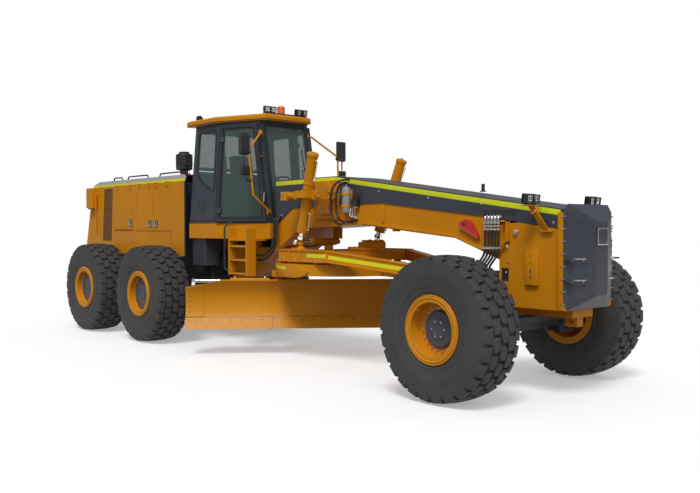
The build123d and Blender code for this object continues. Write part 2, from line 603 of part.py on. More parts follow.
SHIFT_ANCHOR = (CIRCLE_X - 400, 270, DRAW_TOP_Z + 100)
SHIFT_END = (SHIFT_LUG[0], SHIFT_LUG[1], SHIFT_ANCHOR[2])


def shift_run():
    return (Vector(SHIFT_END) - Vector(SHIFT_ANCHOR)).normalized()


def centre_shift_barrel():
    d = shift_run()
    start, end = Vector(SHIFT_ANCHOR), Vector(SHIFT_ANCHOR) + d * 640
    ball = Pos(*SHIFT_ANCHOR) * Sphere(42) + round_bar(tuple(start), tuple(start + d * 70), 25)
    barrel = round_bar(tuple(start + d * 62), tuple(end), 55)
    bore = round_bar(tuple(start + d * 90), tuple(end + d * 10), 28 + RUN_GAP)
    return ball + barrel - bore


def centre_shift_rod():
    d = shift_run()
    end = Vector(SHIFT_END)
    rod = round_bar(tuple(Vector(SHIFT_ANCHOR) + d * 320), tuple(end - d * 20), 28)
    return rod + Pos(*SHIFT_END) * Sphere(48)


def shift_anchor():
    """Hanger under the frame that carries the centre-shift cylinder's ball."""
    x, y, z = SHIFT_ANCHOR
    hanger = block((x - 60, x + 60), (y - 45, y + 45), (z + 42 + RUN_GAP, z + 250))
    return hanger - front_frame()


# ---- cab's outline ----------------------------------------------------------------------------------
CAB_REAR_X = HINGE_X - 180
CAB_MID_X = HINGE_X + 600       # where the sides turn in
CAB_FRONT_X = HINGE_X + 1540
CAB_FRONT_HALF = 460
CAB_LEAN = 110              # sides lean in by this at the head
FRONT_RAKE = 290
CAB_TOP_Z = 3600
SILL = 70
ROOF_Z = (CAB_TOP_Z + 0.5, CAB_TOP_Z + 100)
# pillar: foot (x, y) and head (x, y), left side
HEAD_HALF = CAB_HALF - CAB_LEAN
FRONT_HEAD_X = CAB_FRONT_X - FRONT_RAKE
# the door wall keeps its direction from foot to head, so that it is flat
DOOR_WALL_SLOPE = (CAB_HALF - CAB_FRONT_HALF) / (CAB_FRONT_X - CAB_MID_X)
FRONT_HEAD_HALF = HEAD_HALF - DOOR_WALL_SLOPE * (FRONT_HEAD_X - CAB_MID_X + 20)
PILLARS = (("rear", (CAB_REAR_X, CAB_HALF), (CAB_REAR_X + 30, HEAD_HALF)),
           ("middle", (CAB_MID_X, CAB_HALF), (CAB_MID_X - 20, HEAD_HALF)),
           ("front", (CAB_FRONT_X, CAB_FRONT_HALF), (FRONT_HEAD_X, FRONT_HEAD_HALF)))


# ---- rear frame and tandems ---------------------------------------------------------------------------
RAIL_Y = (330, 450)
RAIL_Z = (1130, 1420)
HOOD_FRONT_X = HINGE_X - 290
BULKHEAD_X = HINGE_X - 560
CASE_Y = (680, 900)


def rear_frame():
    rails = both_sides(block((REAR_END_X + 60, HINGE_X - 400), RAIL_Y, RAIL_Z))
    crosses = [block((x - 80, x + 80), (-RAIL_Y[1], RAIL_Y[1]), RAIL_Z) for x in
               (TANDEM_X - 1900, TANDEM_X - 900, TANDEM_X + 900)]
    head = block((HINGE_X - 560, HINGE_X - 260), (-RAIL_Y[1] + 60, RAIL_Y[1] - 60), (1020, 1475))
    ears = []
    for low, high in REAR_EARS_Z:
        plate = block((HINGE_X - 300, HINGE_X), (-HINGE_EAR_R, HINGE_EAR_R), (low, high))
        ears.append(plate + round_bar((HINGE_X, 0, low), (HINGE_X, 0, high), HINGE_EAR_R))
    pin = round_bar((HINGE_X, 0, REAR_EARS_Z[0][0] - 15), (HINGE_X, 0, FRONT_EARS_Z[1][1] + 20), HINGE_PIN_R)
    return joined([rails, *crosses, head, *ears, pin])


HITCH_X, HITCH_BORE_R = REAR_END_X + 120, 32.5


def rear_bumper():
    body = block((REAR_END_X, REAR_END_X + 380), (-760, 760), (900, RAIL_Z[0] - SEAT_GAP))
    plate = block((REAR_END_X, REAR_END_X + 59), (-760, 760), (RAIL_Z[0] - 2, RAIL_Z[1] + 8))
    lug = block((REAR_END_X + 60, REAR_END_X + 300), (-150, 150), (820, 901))
    bore = round_bar((HITCH_X, 0, 700), (HITCH_X, 0, 1131), HITCH_BORE_R)
    slot = block((REAR_END_X - 10, REAR_END_X + 240), (-130, 130), (960, 1060))
    return joined([body, plate, lug]) - bore - slot


def rear_axle():
    housing = block((TANDEM_X - 240, TANDEM_X + 240), (-CASE_Y[0] + SEAT_GAP, CASE_Y[0] - SEAT_GAP),
                    (AXLE_Z - 160, RAIL_Z[0] - SEAT_GAP))
    return housing + block((TANDEM_X - 330, TANDEM_X + 330), (-500, 500), (RAIL_Z[0] - 60, RAIL_Z[0] - SEAT_GAP))


def tandem_cases():
    """Tandem cases, each with its two wheel shafts."""
    kind = WHEEL_KINDS["rear"]
    solids = [block((TANDEM_X - TANDEM_SPACING / 2, TANDEM_X + TANDEM_SPACING / 2), CASE_Y, (AXLE_Z - 210, AXLE_Z + 210))]
    for x in (TANDEM_X - TANDEM_SPACING / 2, TANDEM_X + TANDEM_SPACING / 2):
        solids.append(round_bar((x, CASE_Y[0], AXLE_Z), (x, CASE_Y[1], AXLE_Z), 210))
        solids.append(round_bar((x, CASE_Y[1], AXLE_Z), (x, CASE_Y[1] + 120, AXLE_Z), 190))
        solids.append(round_bar((x, CASE_Y[1], AXLE_Z), (x, shaft_end(kind), AXLE_Z), kind["shaft_r"]))
    return both_sides(joined(solids))


# ---- hood ---------------------------------------------------------------------------------------------
HOOD_Z = (1430, 2700)
CHAMFER_Z, CHAMFER_HALF = 2825, 750
HOOD_TOP_REAR_X = REAR_END_X + 310
HOOD_LOW_REAR_X = REAR_END_X + 15
SHELL_IN = HOOD_HALF - 30
WALL_Y = HOOD_HALF - 25       # outer face of the hood's inner shell
DOOR_Y = (WALL_Y + SEAT_GAP, HOOD_HALF)
DOOR_HINGE = (HOOD_HALF + 12, HOOD_Z[1] + 2)
# door: (front station, rear station) from the hood's front edge, low z
HOOD_DOORS = (("front", (-440, -1080), 1860), ("centre", (-1090, -1690), 1860), ("rear", (-1815, -2580), 1880))


def rear_line_x(z):
    """Station of the hood's raked rear edge at height z."""
    t = (z - 1580) / (HOOD_Z[1] - 1580)
    return HOOD_LOW_REAR_X + (HOOD_TOP_REAR_X - HOOD_LOW_REAR_X) * t


def wheel_arches():
    """Room for the tandem wheels, in case the hood reaches over them."""
    y = TRACK_HALF - TYRE_WIDTH / 2 - 4 * MOVE_GAP
    radius = TYRE_D / 2 + 8 * MOVE_GAP
    return joined([both_sides(round_bar((x, y, AXLE_Z), (x, y + 2 * TYRE_WIDTH, AXLE_Z), radius))
                   for name, x in AXLES[1:]])


def hood_walls():
    """Inner side walls of the hood, open at the doors."""
    front_x = HOOD_FRONT_X
    side = [(front_x, HOOD_Z[0]), (front_x, HOOD_Z[1]), (HOOD_TOP_REAR_X, HOOD_Z[1]), (rear_line_x(HOOD_Z[0]), HOOD_Z[0])]
    wall = side_plate(side, SHELL_IN, WALL_Y)
    for name, (front, rear), low in HOOD_DOORS:
        opening = (front_x + rear + 25, front_x + front - 25)
        wall = wall - block(opening, (SHELL_IN - 10, HOOD_HALF), (low + 25, HOOD_Z[1] - 40))
    return both_sides(wall) - wheel_arches()


def hood_roof():
    """Chamfered top of the hood, closed at its rear end."""
    front_x = HOOD_FRONT_X
    low = HOOD_Z[1] + SEAT_GAP
    outer = [(WALL_Y, low), (WALL_Y, HOOD_Z[1] + 45), (CHAMFER_HALF, CHAMFER_Z),
             (-CHAMFER_HALF, CHAMFER_Z), (-WALL_Y, HOOD_Z[1] + 45), (-WALL_Y, low)]
    inner = [(-SHELL_IN, low), (-SHELL_IN, HOOD_Z[1] + 30), (-CHAMFER_HALF + 6, CHAMFER_Z - 20),
             (CHAMFER_HALF - 6, CHAMFER_Z - 20), (SHELL_IN, HOOD_Z[1] + 30), (SHELL_IN, low)]
    face = make_face(Polyline([(HOOD_TOP_REAR_X, y, z) for y, z in outer + inner], close=True))
    gable = make_face(Polyline([(HOOD_TOP_REAR_X, y, z) for y, z in outer], close=True))
    roof = extrude(face, amount=front_x - HOOD_TOP_REAR_X, dir=(1, 0, 0)) + extrude(gable, amount=25, dir=(1, 0, 0))
    # the front edge is cut back where the cab's rear corners pass as the machine bends
    bay = [(front_x + 10, CAB_HALF + 50), (front_x, CAB_HALF + 50), (HINGE_X - 515, CAB_HALF - 50), (HINGE_X - 520, CAB_HALF - 90),
           (front_x, 60), (front_x + 10, 60)]
    return roof - both_sides(floor_plate(bay, HOOD_Z[1] - 10, CHAMFER_Z + 10))


def hood_rear_wall():
    low, high = (rear_line_x(HOOD_Z[0]), HOOD_Z[0]), (HOOD_TOP_REAR_X, HOOD_Z[1])
    half = SHELL_IN - SEAT_GAP
    return side_plate([low, high, (high[0] + 25, high[1]), (low[0] + 25, low[1])], -half, half)


def hood_side_panels():
    """Fixed outer panels around the doors."""
    x0 = HOOD_FRONT_X
    high = HOOD_Z[1]
    band, low = 1845, 1845 + SEAT_GAP
    rear = [(x0 - 2588, low), (x0 - 2588, high), (HOOD_TOP_REAR_X + 2, high), (rear_line_x(low), low)]
    foot = [(x0 - 440, HOOD_Z[0]), (x0 - 440, band), (rear_line_x(band) + 4, band), (rear_line_x(HOOD_Z[0]), HOOD_Z[0])]
    panels = [block((x0 - 432, x0), DOOR_Y, (HOOD_Z[0], high)),
              block((x0 - 1808, x0 - 1697), DOOR_Y, (low, high)),
              side_plate(rear, *DOOR_Y),
              side_plate(foot, *DOOR_Y)]
    vent = side_plate([(x0 - 2700, 1660), (x0 - 2640, 2660), (x0 - 3010, 2660), (x0 - 3090, 1660)],
                      DOOR_Y[0] - 1, DOOR_Y[1] + 1)
    room = wheel_arches()
    return Compound([solid for sheet in panels for solid in (both_sides(sheet - vent) - room).solids()])


def hood_vents():
    x0 = HOOD_FRONT_X
    return both_sides(side_plate([(x0 - 2701, 1661), (x0 - 2641, 2659), (x0 - 3009, 2659), (x0 - 3089, 1661)],
                                 DOOR_Y[0], DOOR_Y[1] - 8))


def hood_door(front, rear, low):
    x0 = HOOD_FRONT_X
    sheet = block((x0 + rear, x0 + front), DOOR_Y, (low, HOOD_Z[1] - 8))
    knuckles = [round_bar((x - 45, *DOOR_HINGE), (x + 45, *DOOR_HINGE), 8) for x in (x0 + front - 120, x0 + rear + 120)]
    leaves = [block((x - 45, x + 45), (DOOR_HINGE[0] - 20, DOOR_HINGE[0]), (HOOD_Z[1] - 70, DOOR_HINGE[1]))
              - block((x - 50, x + 50), (0, DOOR_Y[1]), (0, HOOD_Z[1] + 10)) for x in (x0 + front - 120, x0 + rear + 120)]
    latch = block((x0 + (front + rear) / 2 - 40, x0 + (front + rear) / 2 + 40), (DOOR_Y[1], DOOR_Y[1] + 6), (low + 30, low + 70))
    return joined([sheet, *leaves, *knuckles, latch])


def hood_bulkhead():
    wall = block((BULKHEAD_X - 40, BULKHEAD_X), (-SHELL_IN + SEAT_GAP, SHELL_IN - SEAT_GAP),
                 (HOOD_Z[0], HOOD_Z[1] - 1))
    feet = [block((x - 60, x + 60), (425, SHELL_IN - SEAT_GAP), (RAIL_Z[1] + SEAT_GAP, RAIL_Z[1] + 10)) for x in
            (BULKHEAD_X - 60, TANDEM_X - 700, TANDEM_X - 1900)]
    return wall + both_sides(joined(feet)) - wheel_arches()


def engine_block():
    return block((TANDEM_X - 1500, TANDEM_X + 300), (-420, 420), (RAIL_Z[1] + SEAT_GAP, 2450))


def air_precleaner():
    x, y = HINGE_X - 1130, -400
    neck = round_bar((x, y, CHAMFER_Z + 0.3), (x, y, 2960), 70)
    bowl = round_bar((x, y, 2960), (x, y, 3230), 150)
    lid = round_bar((x, y, 3230), (x, y, 3270), 90)
    return joined([neck, bowl, lid])


def exhaust():
    x, y = HINGE_X - 1150, 400
    pipe = round_bar((x, y, CHAMFER_Z + 0.3), (x, y, 3350), 75)
    return pipe - round_bar((x, y, 3100), (x, y, 3360), 68)


def rear_lamp_boxes():
    x = HOOD_TOP_REAR_X
    return both_sides(block((x - 60, x + 220), (DOOR_Y[1] + 0.3, DOOR_Y[1] + 110), (2300, 2690)))


def hood_rails():
    """Handrails on the hood's top."""
    rails = []
    for y in (-560, 0, 560):
        x0, x1 = HOOD_FRONT_X - 900, HOOD_TOP_REAR_X + 300
        z = CHAMFER_Z + 70
        rails.append(tube([(x0, y, CHAMFER_Z + 0.3), (x0, y, z), (x1, y, z), (x1, y, CHAMFER_Z + 0.3)], 14, 40))
    return joined(rails)


# ---- cab ----------------------------------------------------------------------------------------------
def cab_ring(z, level):
    pts = [p[level] for p in PILLARS]
    ring = pts + [(x, -y) for x, y in reversed(pts)]
    return [(x, y, z) for x, y in ring]


def cab_frame():
    solids = []
    feet, heads = cab_ring(CAB_FLOOR_Z + 35, 1), cab_ring(CAB_TOP_Z - 35, 2)
    for foot, head in zip(feet, heads):
        run = Vector(head) - Vector(foot)
        solids.append(bar(tuple(Vector(foot) - run * 0.1), tuple(Vector(head) + run * 0.1), SILL, SILL))
    for ring in (feet, heads):
        for a, b in zip(ring, ring[1:] + ring[:1]):
            solids.append(bar(a, b, SILL, SILL, across=(0, 0, 1)))
    inside = block((CAB_REAR_X - 500, CAB_FRONT_X + 500), (-2 * CAB_HALF, 2 * CAB_HALF), (CAB_FLOOR_Z, CAB_TOP_Z))
    return joined(solids) & inside


def cab_frame_levels():
    """The cab's frame as its floor ring, six pillars and head ring."""
    frame = cab_frame()
    split = (CAB_FLOOR_Z + SILL, CAB_TOP_Z - SILL)
    levels = ((CAB_FLOOR_Z, split[0]), (split[0] + SEAT_GAP, split[1] - SEAT_GAP), (split[1], CAB_TOP_Z))
    solids = []
    for z in levels:
        level = block((CAB_REAR_X - 500, CAB_FRONT_X + 500), (-2 * CAB_HALF, 2 * CAB_HALF), z)
        solids.extend((frame & level).solids())
    return Compound(solids)


def cab_face(a, b, low=0.0, high=1.0, inset=0.0):
    """Corners of the pane between pillars a and b, pushed out past the pillars."""
    feet, heads = cab_ring(CAB_FLOOR_Z, 1), cab_ring(CAB_TOP_Z, 2)
    centre = Vector(CAB_REAR_X + 800, 0, (CAB_FLOOR_Z + CAB_TOP_Z) / 2)
    corners = []
    for i, t, j in ((a, low, b), (b, low, a), (b, high, a), (a, high, b)):
        here = Vector(*feet[i]) + (Vector(*heads[i]) - Vector(*feet[i])) * t
        there = Vector(*feet[j]) + (Vector(*heads[j]) - Vector(*feet[j])) * t
        corners.append(here + (there - here).normalized() * inset)
    normal = (corners[1] - corners[0]).cross(corners[3] - corners[0]).normalized()
    if normal.dot(corners[0] - centre) < 0:
        normal = -normal
    return corners, normal


def pane(a, b, low, high, inset, out, thick):
    corners, normal = cab_face(a, b, low, high, inset)
    return panel([c + normal * out for c in corners], thick, normal)


def seat_out(a, b, low=0.03, high=0.97):
    """How far out a pane on pillars a and b rests on them."""
    far = 2 * SILL
    sheet = pane(a, b, low, high, 12, far, GLASS)
    return far - cab_frame().distance_to(sheet) + SEAT_GAP


def cab_glass():
    """Windscreen, rear side windows and rear window."""
    panes = []
    for a, b, low in ((2, 3, 0.03), (0, 1, 0.03), (4, 5, 0.03), (5, 0, 0.55)):
        panes.append(pane(a, b, low, 0.97, 12, seat_out(a, b, low), GLASS))
    return joined(panes)


def cab_lower_rear():
    """Closed panel of the rear wall, under the rear window."""
    return pane(5, 0, 0.0, 0.54, 4, seat_out(5, 0, 0.0, 0.54), SKIN)


DOOR_T = 40
DOOR_RIM = 55


def door_frame(a, b):
    """a is the hinge pillar, b the front pillar."""
    out = seat_out(a, b)
    rim_t = DOOR_RIM / (CAB_TOP_Z - CAB_FLOOR_Z)
    outer = pane(a, b, 0.01, 0.97, 10, out, DOOR_T)
    hole = pane(a, b, 0.01 + rim_t, 0.97 - rim_t, 10 + DOOR_RIM, out - 5, DOOR_T + 10)
    corners, normal = cab_face(a, b, 0.01, 0.97, 10)
    along = (corners[1] - corners[0]).normalized()
    at = corners[1] + (corners[2] - corners[1]) * 0.42 - along * 30 + normal * (out + DOOR_T)
    grip = Pos(*at) * Box(30, 30, 180)
    solids = [outer - hole, grip]
    for t in (0.12, 0.85):
        knuckle_at = corners[0] + (corners[3] - corners[0]) * t + normal * (out + DOOR_T)
        rise = (corners[3] - corners[0]).normalized() * 60
        solids.append(round_bar(tuple(knuckle_at - rise), tuple(knuckle_at + rise), 9))
    return joined(solids)


def door_glass(a, b):
    rim_t = (DOOR_RIM - 1) / (CAB_TOP_Z - CAB_FLOOR_Z)
    rebate = pane(a, b, 0.01 + rim_t, 0.97 - rim_t, 9 + DOOR_RIM, seat_out(a, b) + 15, GLASS)
    return rebate - door_frame(a, b)


def cab_roof():
    x0, x1, x2 = CAB_REAR_X - 170, HINGE_X + 490, HINGE_X + 1420
    plan = [(x0, 800), (x1, 800), (x2, 450), (x2, -450), (x1, -800), (x0, -800)]
    slab = floor_plate(plan, *ROOF_Z)
    return chamfer(slab.faces().sort_by(Axis.Z)[-1].edges(), 25)


def cab_platform():
    """Skirt and floor under the cab."""
    feet = cab_ring(0, 1)
    plan = [(x + (60 if i in (2, 3) else 0) - (30 if i in (0, 5) else 0), y + (50 if y > 0 else -50))
            for i, (x, y, z) in enumerate(feet)]
    return floor_plate(plan, SKIRT_Z, CAB_FLOOR_Z - 0.5)


def cab_braces():
    """Slanted braces, side boxes and legs between the cab's skirt and the girder."""
    solids = []
    z_top = SKIRT_Z - 0.5
    for x_top, x_low in ((HINGE_X + 100, HINGE_X + 340), (HINGE_X + 1080, HINGE_X + 800)):
        solids.append(side_plate([(x_top - 60, z_top), (x_top + 60, z_top), (x_low + 60, 1330), (x_low - 60, 1330)],
                                 GIRDER_HALF + 0.3, GIRDER_HALF + 45))
    solids.append(block((HINGE_X - 190, HINGE_X + 210), (540, 790), (1290, z_top)))
    return both_sides(solids[0]) + both_sides(solids[1]) + both_sides(solids[2])


LADDER_X = (HINGE_X + 1010, HINGE_X + 1480)
LADDER_Y = (700, 870)


def ladders():
    """Ladder under each cab door."""
    solids = []
    for x in LADDER_X:
        solids.append(block((x - 15, x + 15), LADDER_Y, (1175, SKIRT_Z + 150)))
    for z in (1190, 1400, 1610):
        solids.append(block((LADDER_X[0], LADDER_X[1]), LADDER_Y, (z, z + 30)))
    plate = block((LADDER_X[0] - 15, LADDER_X[1] + 15), (480, LADDER_Y[1]), (SKIRT_Z - 30, SKIRT_Z - 0.5))
    return both_sides(joined([*solids, plate]) - cab_platform())


def mirror_arms():
    """Bent rail with its mirror at each front pillar."""
    low = (CAB_FRONT_X + 95, CAB_FRONT_HALF + 60, 2150)
    high = (FRONT_HEAD_X + 111, FRONT_HEAD_HALF + 55, 3400)
    out_low = (low[0] + 15, low[1] + 330, 2400)
    out_high = (low[0] - 55, low[1] + 370, 3080)
    solids = [tube([low, out_low, out_high, high], 16, 60)]
    for foot, t in ((low, 0.105), (high, 0.877)):
        pillar_x = CAB_FRONT_X - FRONT_RAKE * t
        pillar_y = CAB_FRONT_HALF + (FRONT_HEAD_HALF - CAB_FRONT_HALF) * t
        solids.append(round_bar((pillar_x + 25, pillar_y + 20, foot[2]), foot, 10))
    solids.append(block((out_high[0] - 20, out_high[0] + 20), (out_high[1] - 60, out_high[1] + 140), (3010, 3330)))
    return both_sides(joined(solids)) - cab_frame()


def roof_lamps():
    z = ROOF_Z[1] + 0.3
    x = HINGE_X + 1330
    solids = [block((x - 30, x + 30), (-420, 420), (z, z + 30))]
    for y in (-370, -250, 250, 370):
        solids.append(block((x - 40, x + 50), (y - 50, y + 50), (z + 30, z + 120)))
    return joined(solids)


def beacon():
    x = HINGE_X + 1215
    z = ROOF_Z[1] + 0.3
    return round_bar((x, 0, z), (x, 0, z + 40), 75) + round_bar((x, 0, z + 40), (x, 0, z + 170), 65)


def rear_work_lamp():
    x, z = CAB_REAR_X - 60, ROOF_Z[1] + 0.3
    return both_sides(block((x - 45, x + 45), (560, 680), (z, z + 110)))


def seat_base():
    x = HINGE_X + 330
    return round_bar((x, 0, CAB_FLOOR_Z), (x, 0, 2330), 130) + block((x - 200, x + 200), (-210, 210), (2330, 2370))


def seat_cushion():
    x = HINGE_X + 330
    return block((x - 240, x + 260), (-255, 255), (2370.5, 2490))


def seat_back():
    x = HINGE_X + 70
    return side_plate([(x + 20, 2490.5), (x + 150, 2490.5), (x + 20, 3180), (x - 90, 3180)], -240, 240)


def console():
    x = HINGE_X + 1180
    base = side_plate([(x, CAB_FLOOR_Z), (x + 120, CAB_FLOOR_Z), (x + 40, 2560), (x - 60, 2560)], -90, 90)
    pods = [block((HINGE_X + 380, HINGE_X + 760), (s * 380 - 70, s * 380 + 70), (CAB_FLOOR_Z, 2650)) for s in (-1, 1)]
    return joined([base, *pods])


def steering_wheel():
    x, z = HINGE_X + 1130, 2600
    ring = Pos(x, 0, z + 60) * Rot(0, -20, 0) * Torus(190, 16)
    spoke = Pos(x, 0, z + 60) * Rot(0, -20, 0) * Box(40, 380, 16)
    post = round_bar((x, 0, 2561), (x + 3, 0, z + 60), 28)
    return joined([ring, spoke, post])


# ---- front fittings -----------------------------------------------------------------------------------
def lamp_arms():
    """Headlamps on slanted arms over the front post."""
    solids = []
    for side in (-1, 1):
        start, end = (600, side * (FRAME_HALF + 5), 2060), (600, side * 600, 2170)
        solids.append(bar(start, end, 50, 12, across=(1, 0, 0)))
        solids.append(block((560, 690), (side * 610 - 70, side * 610 + 70), (2155, 2290)))
    return joined(solids) - frame_cover()


def fire_extinguisher():
    x, y = 860, POST_HALF + 85
    body = round_bar((x, y, 1400), (x, y, 1850), 75) + round_bar((x, y, 1850), (x, y, 1930), 28)
    return body + block((x - 40, x + 40), (POST_HALF + 0.3, y), (1500, 1560)) + block((x - 40, x + 40), (POST_HALF + 0.3, y), (1700, 1760))


def accumulator():
    x, y = TRUNNION[0] + 470, -FRAME_HALF - 80
    can = round_bar((x, y, 2100), (x, y, 2480), 62)
    return can + block((x - 40, x + 40), (y, -FRAME_HALF - 12.3), (2250, 2330))


# ---- hoses --------------------------------------------------------------------------------------------
HOSE_R = 13
HOSE_OUT = -COVER_HALF - 45     # plane in which the front hoses hang
# front hose: station at the slot, y at the post's rear face
FRONT_HOSES = ((-110, -200), (-62, -250), (-14, -300), (34, -350), (82, -400))


def front_hoses():
    """Hoses from the slot in the frame's cover to the rear face of the front post."""
    solids = []
    for x, y in FRONT_HOSES:
        points = [(x, -COVER_HALF - SEAT_GAP, 2040), (x, HOSE_OUT, 2040), (x, HOSE_OUT, 1660),
                  (x - 150, HOSE_OUT, 1470), (x - 150, y, 1390), (POST_X[0] - SEAT_GAP, y, 1390)]
        solids.append(tube(points, HOSE_R, 28))
    return Compound([solid for hose in solids for solid in hose.solids()])


def lift_hoses():
    """Loops beside the right-hand lift cylinder."""
    x = TRUNNION[0]
    cover, web = -COVER_HALF - SEAT_GAP, -FRAME_HALF - SEAT_GAP
    y, far = cover - 107, cover - 168
    inner = [(x + 400, cover, 2540), (x + 400, y, 2540), (x + 295, y, 2400), (x + 295, y, 2080),
             (x + 440, y, 1990), (x + 520, y, 1990), (x + 520, web, 1990)]
    outer = [(x + 460, cover, 2580), (x + 460, far, 2580), (x + 255, far, 2450), (x + 255, far, 2060),
             (x + 440, far, 1930), (x + 600, far, 2010), (x + 600, web, 2010)]
    return Compound([tube(points, HOSE_R + 2, 50).solids()[0] for points in (inner, outer)])


def girder_hoses():
    """Two thick hoses from the frame's cover down to the girder."""
    solids = []
    y = -COVER_HALF - 68
    end_x = COVER_REAR_X - 510
    for i in range(2):
        x = COVER_REAR_X + 110 - 70 * i
        z = 1395 + 75 * i
        points = [(x, -COVER_HALF - SEAT_GAP, 2070), (x, y, 2070), (x, y, 1640), (x - 260, y, z),
                  (end_x, y, z), (end_x, -GIRDER_HALF - SEAT_GAP, z)]
        solids.append(tube(points, 20, 50).solids()[0])
    return Compound(solids)


# ---- assembly -----------------------------------------------------------------------------------------
def hood_doors():
    """Left-hand doors, which share the hinge line along the hood's top edge."""
    return joined([hood_door(*span, low) for name, span, low in HOOD_DOORS])


# node: its pieces, each a separate solid
SINGLE_NODES = {
    "front_axle": (front_axle,),
    "tie_rod_stud": (tie_rod_stud,),
    "tie_rod": (tie_rod,),
    "lean_bar": (lean_bar,),
    "front_frame": (front_frame, lift_brackets, shift_anchor),
    "frame_cover": (frame_cover,),
    "front_post": (front_post, axle_mount),
    "nose_cover": (nose_cover, emblem_plate, nose_steps),
    "drawbar_swivel": (drawbar_swivel,),
    "drawbar": (drawbar, circle_gearbox),
    "circle": (circle,),
    "tip_frame": (tip_frame, side_shift_barrel),
    "moldboard": (moldboard, cutting_edge, end_bits),
    "side_shift_rod": (side_shift_rod,),
    "centre_shift_barrel": (centre_shift_barrel,),
    "centre_shift_rod": (centre_shift_rod,),
    "cab_frame": (cab_frame_levels, cab_lower_rear),
    "cab_glass": (cab_glass,),
    "cab_roof": (cab_roof,),
    "cab_platform": (cab_platform, cab_braces, ladders),
    "cab_fittings": (mirror_arms, roof_lamps, beacon, rear_work_lamp),
    "cab_interior": (seat_base, console, steering_wheel),
    "seat_cushions": (seat_cushion, seat_back),
    "rear_frame": (rear_frame, rear_bumper),
    "tandem_cases": (tandem_cases, rear_axle),
    "hood": (hood_walls, hood_roof, hood_rear_wall),
    "hood_panels": (hood_side_panels, hood_bulkhead, rear_lamp_boxes),
    "hood_vents": (hood_vents,),
    "engine_block": (engine_block,),
    "hood_top_fittings": (air_precleaner, exhaust, hood_rails),
    "front_fittings": (lamp_arms, fire_extinguisher, accumulator),
    "hoses": (front_hoses, lift_hoses, girder_hoses),
}
# left-hand node with a mirrored right-hand twin
TWIN_NODES = {
    "lean_bracket": lean_bracket,
    "knuckle": knuckle,
    "lift_barrel": lift_barrel,
    "lift_rod": lift_rod,
    "yoke_ring": yoke_ring,
    "hood_doors": hood_doors,
}


def all_nodes():
    """Node name to the list of its solids."""
    nodes = {}
    for axle, x in AXLES:
        wheel_tyre, wheel_rim = tyre(), rim(WHEEL_KINDS[axle])
        for side, s in SIDES:
            nodes[f"tyre_{axle}_{side}"] = (wheel_place(x, s) * wheel_tyre).solids()
            nodes[f"rim_{axle}_{side}"] = (wheel_place(x, s) * wheel_rim).solids()
    for name, make in TWIN_NODES.items():
        shape = make()
        nodes[f"{name}_left"] = shape.solids()
        nodes[f"{name}_right"] = mirror(shape, Plane.XZ).solids()
    for side, pillars in (("left", (1, 2)), ("right", (4, 3))):
        nodes[f"cab_door_{side}"] = door_frame(*pillars).solids()
        nodes[f"cab_door_glass_{side}"] = door_glass(*pillars).solids()
    for name, makers in SINGLE_NODES.items():
        nodes[name] = [solid for make in makers for solid in make().solids()]
    return nodes


if __name__ == "__main__":
    os.makedirs("parts", exist_ok=True)
    for name, solids in all_nodes().items():
        export_step(Compound([ON_ROW * solid for solid in solids], label=name), f"parts/{name}.step")
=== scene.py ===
import math

import bmesh
import bpy
from mathutils import Matrix, Vector


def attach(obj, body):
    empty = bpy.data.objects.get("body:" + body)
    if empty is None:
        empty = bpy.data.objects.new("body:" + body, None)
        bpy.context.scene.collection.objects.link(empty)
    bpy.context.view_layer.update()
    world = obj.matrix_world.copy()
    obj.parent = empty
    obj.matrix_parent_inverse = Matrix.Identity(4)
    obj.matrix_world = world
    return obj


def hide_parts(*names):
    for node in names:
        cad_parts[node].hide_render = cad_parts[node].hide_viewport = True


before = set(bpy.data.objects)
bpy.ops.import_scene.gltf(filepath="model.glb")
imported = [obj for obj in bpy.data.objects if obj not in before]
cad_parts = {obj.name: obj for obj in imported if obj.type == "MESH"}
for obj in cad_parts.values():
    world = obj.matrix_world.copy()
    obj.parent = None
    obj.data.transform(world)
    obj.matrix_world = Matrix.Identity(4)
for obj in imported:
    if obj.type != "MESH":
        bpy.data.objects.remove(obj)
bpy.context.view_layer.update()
AXLE_X = 4.45                # x of the front axle in the shared frame
SIDES = (("right", -1), ("left", 1))
AHEAD, BACK, UP = (1, 0, 0), (-1, 0, 0), (0, 0, 1)


def at(x, y, z):
    """Point given from the front axle (x), the centreline (y) and the ground (z)."""
    return Vector((x + AXLE_X, y, z))


def flank(s):
    """Places (x, z, y) on the right (s = -1) or left (s = 1) side."""
    return lambda x, z, y: at(x, s * y, z)


def linked(name, data):
    """New object in the scene."""
    obj = bpy.data.objects.new(name, data)
    bpy.context.scene.collection.objects.link(obj)
    return obj


def ride(obj, body, replaces=()):
    """Lets a piece ride its body and hides the CAD nodes that it replaces, if any."""
    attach(obj, body)
    if replaces:
        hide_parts(*replaces)
    return obj


# ---- materials ----------------------------------------------------------------------------------------
DUST = (0.32, 0.27, 0.2, 1)
DUST_FROM, DUST_TO = 1.9, 0.2          # heights between which dust sets in and is full


def add_node(nt, kind, inputs=None, **settings):
    """New shader node; an input that is given a socket is linked to it."""
    node = nt.nodes.new(f"ShaderNode{kind}")
    for key, value in settings.items():
        setattr(node, key, value)
    for key, value in (inputs or {}).items():
        if isinstance(value, bpy.types.NodeSocket):
            nt.links.new(value, node.inputs[key])
        else:
            node.inputs[key].default_value = value
    return node


def mixed(nt, share, a, b):
    """Colour between a and b."""
    return add_node(nt, "Mix", {"Factor": share, "A": a, "B": b}, data_type="RGBA").outputs["Result"]


def shade(color, by):
    return (*[min(1, c * by) for c in color], 1)


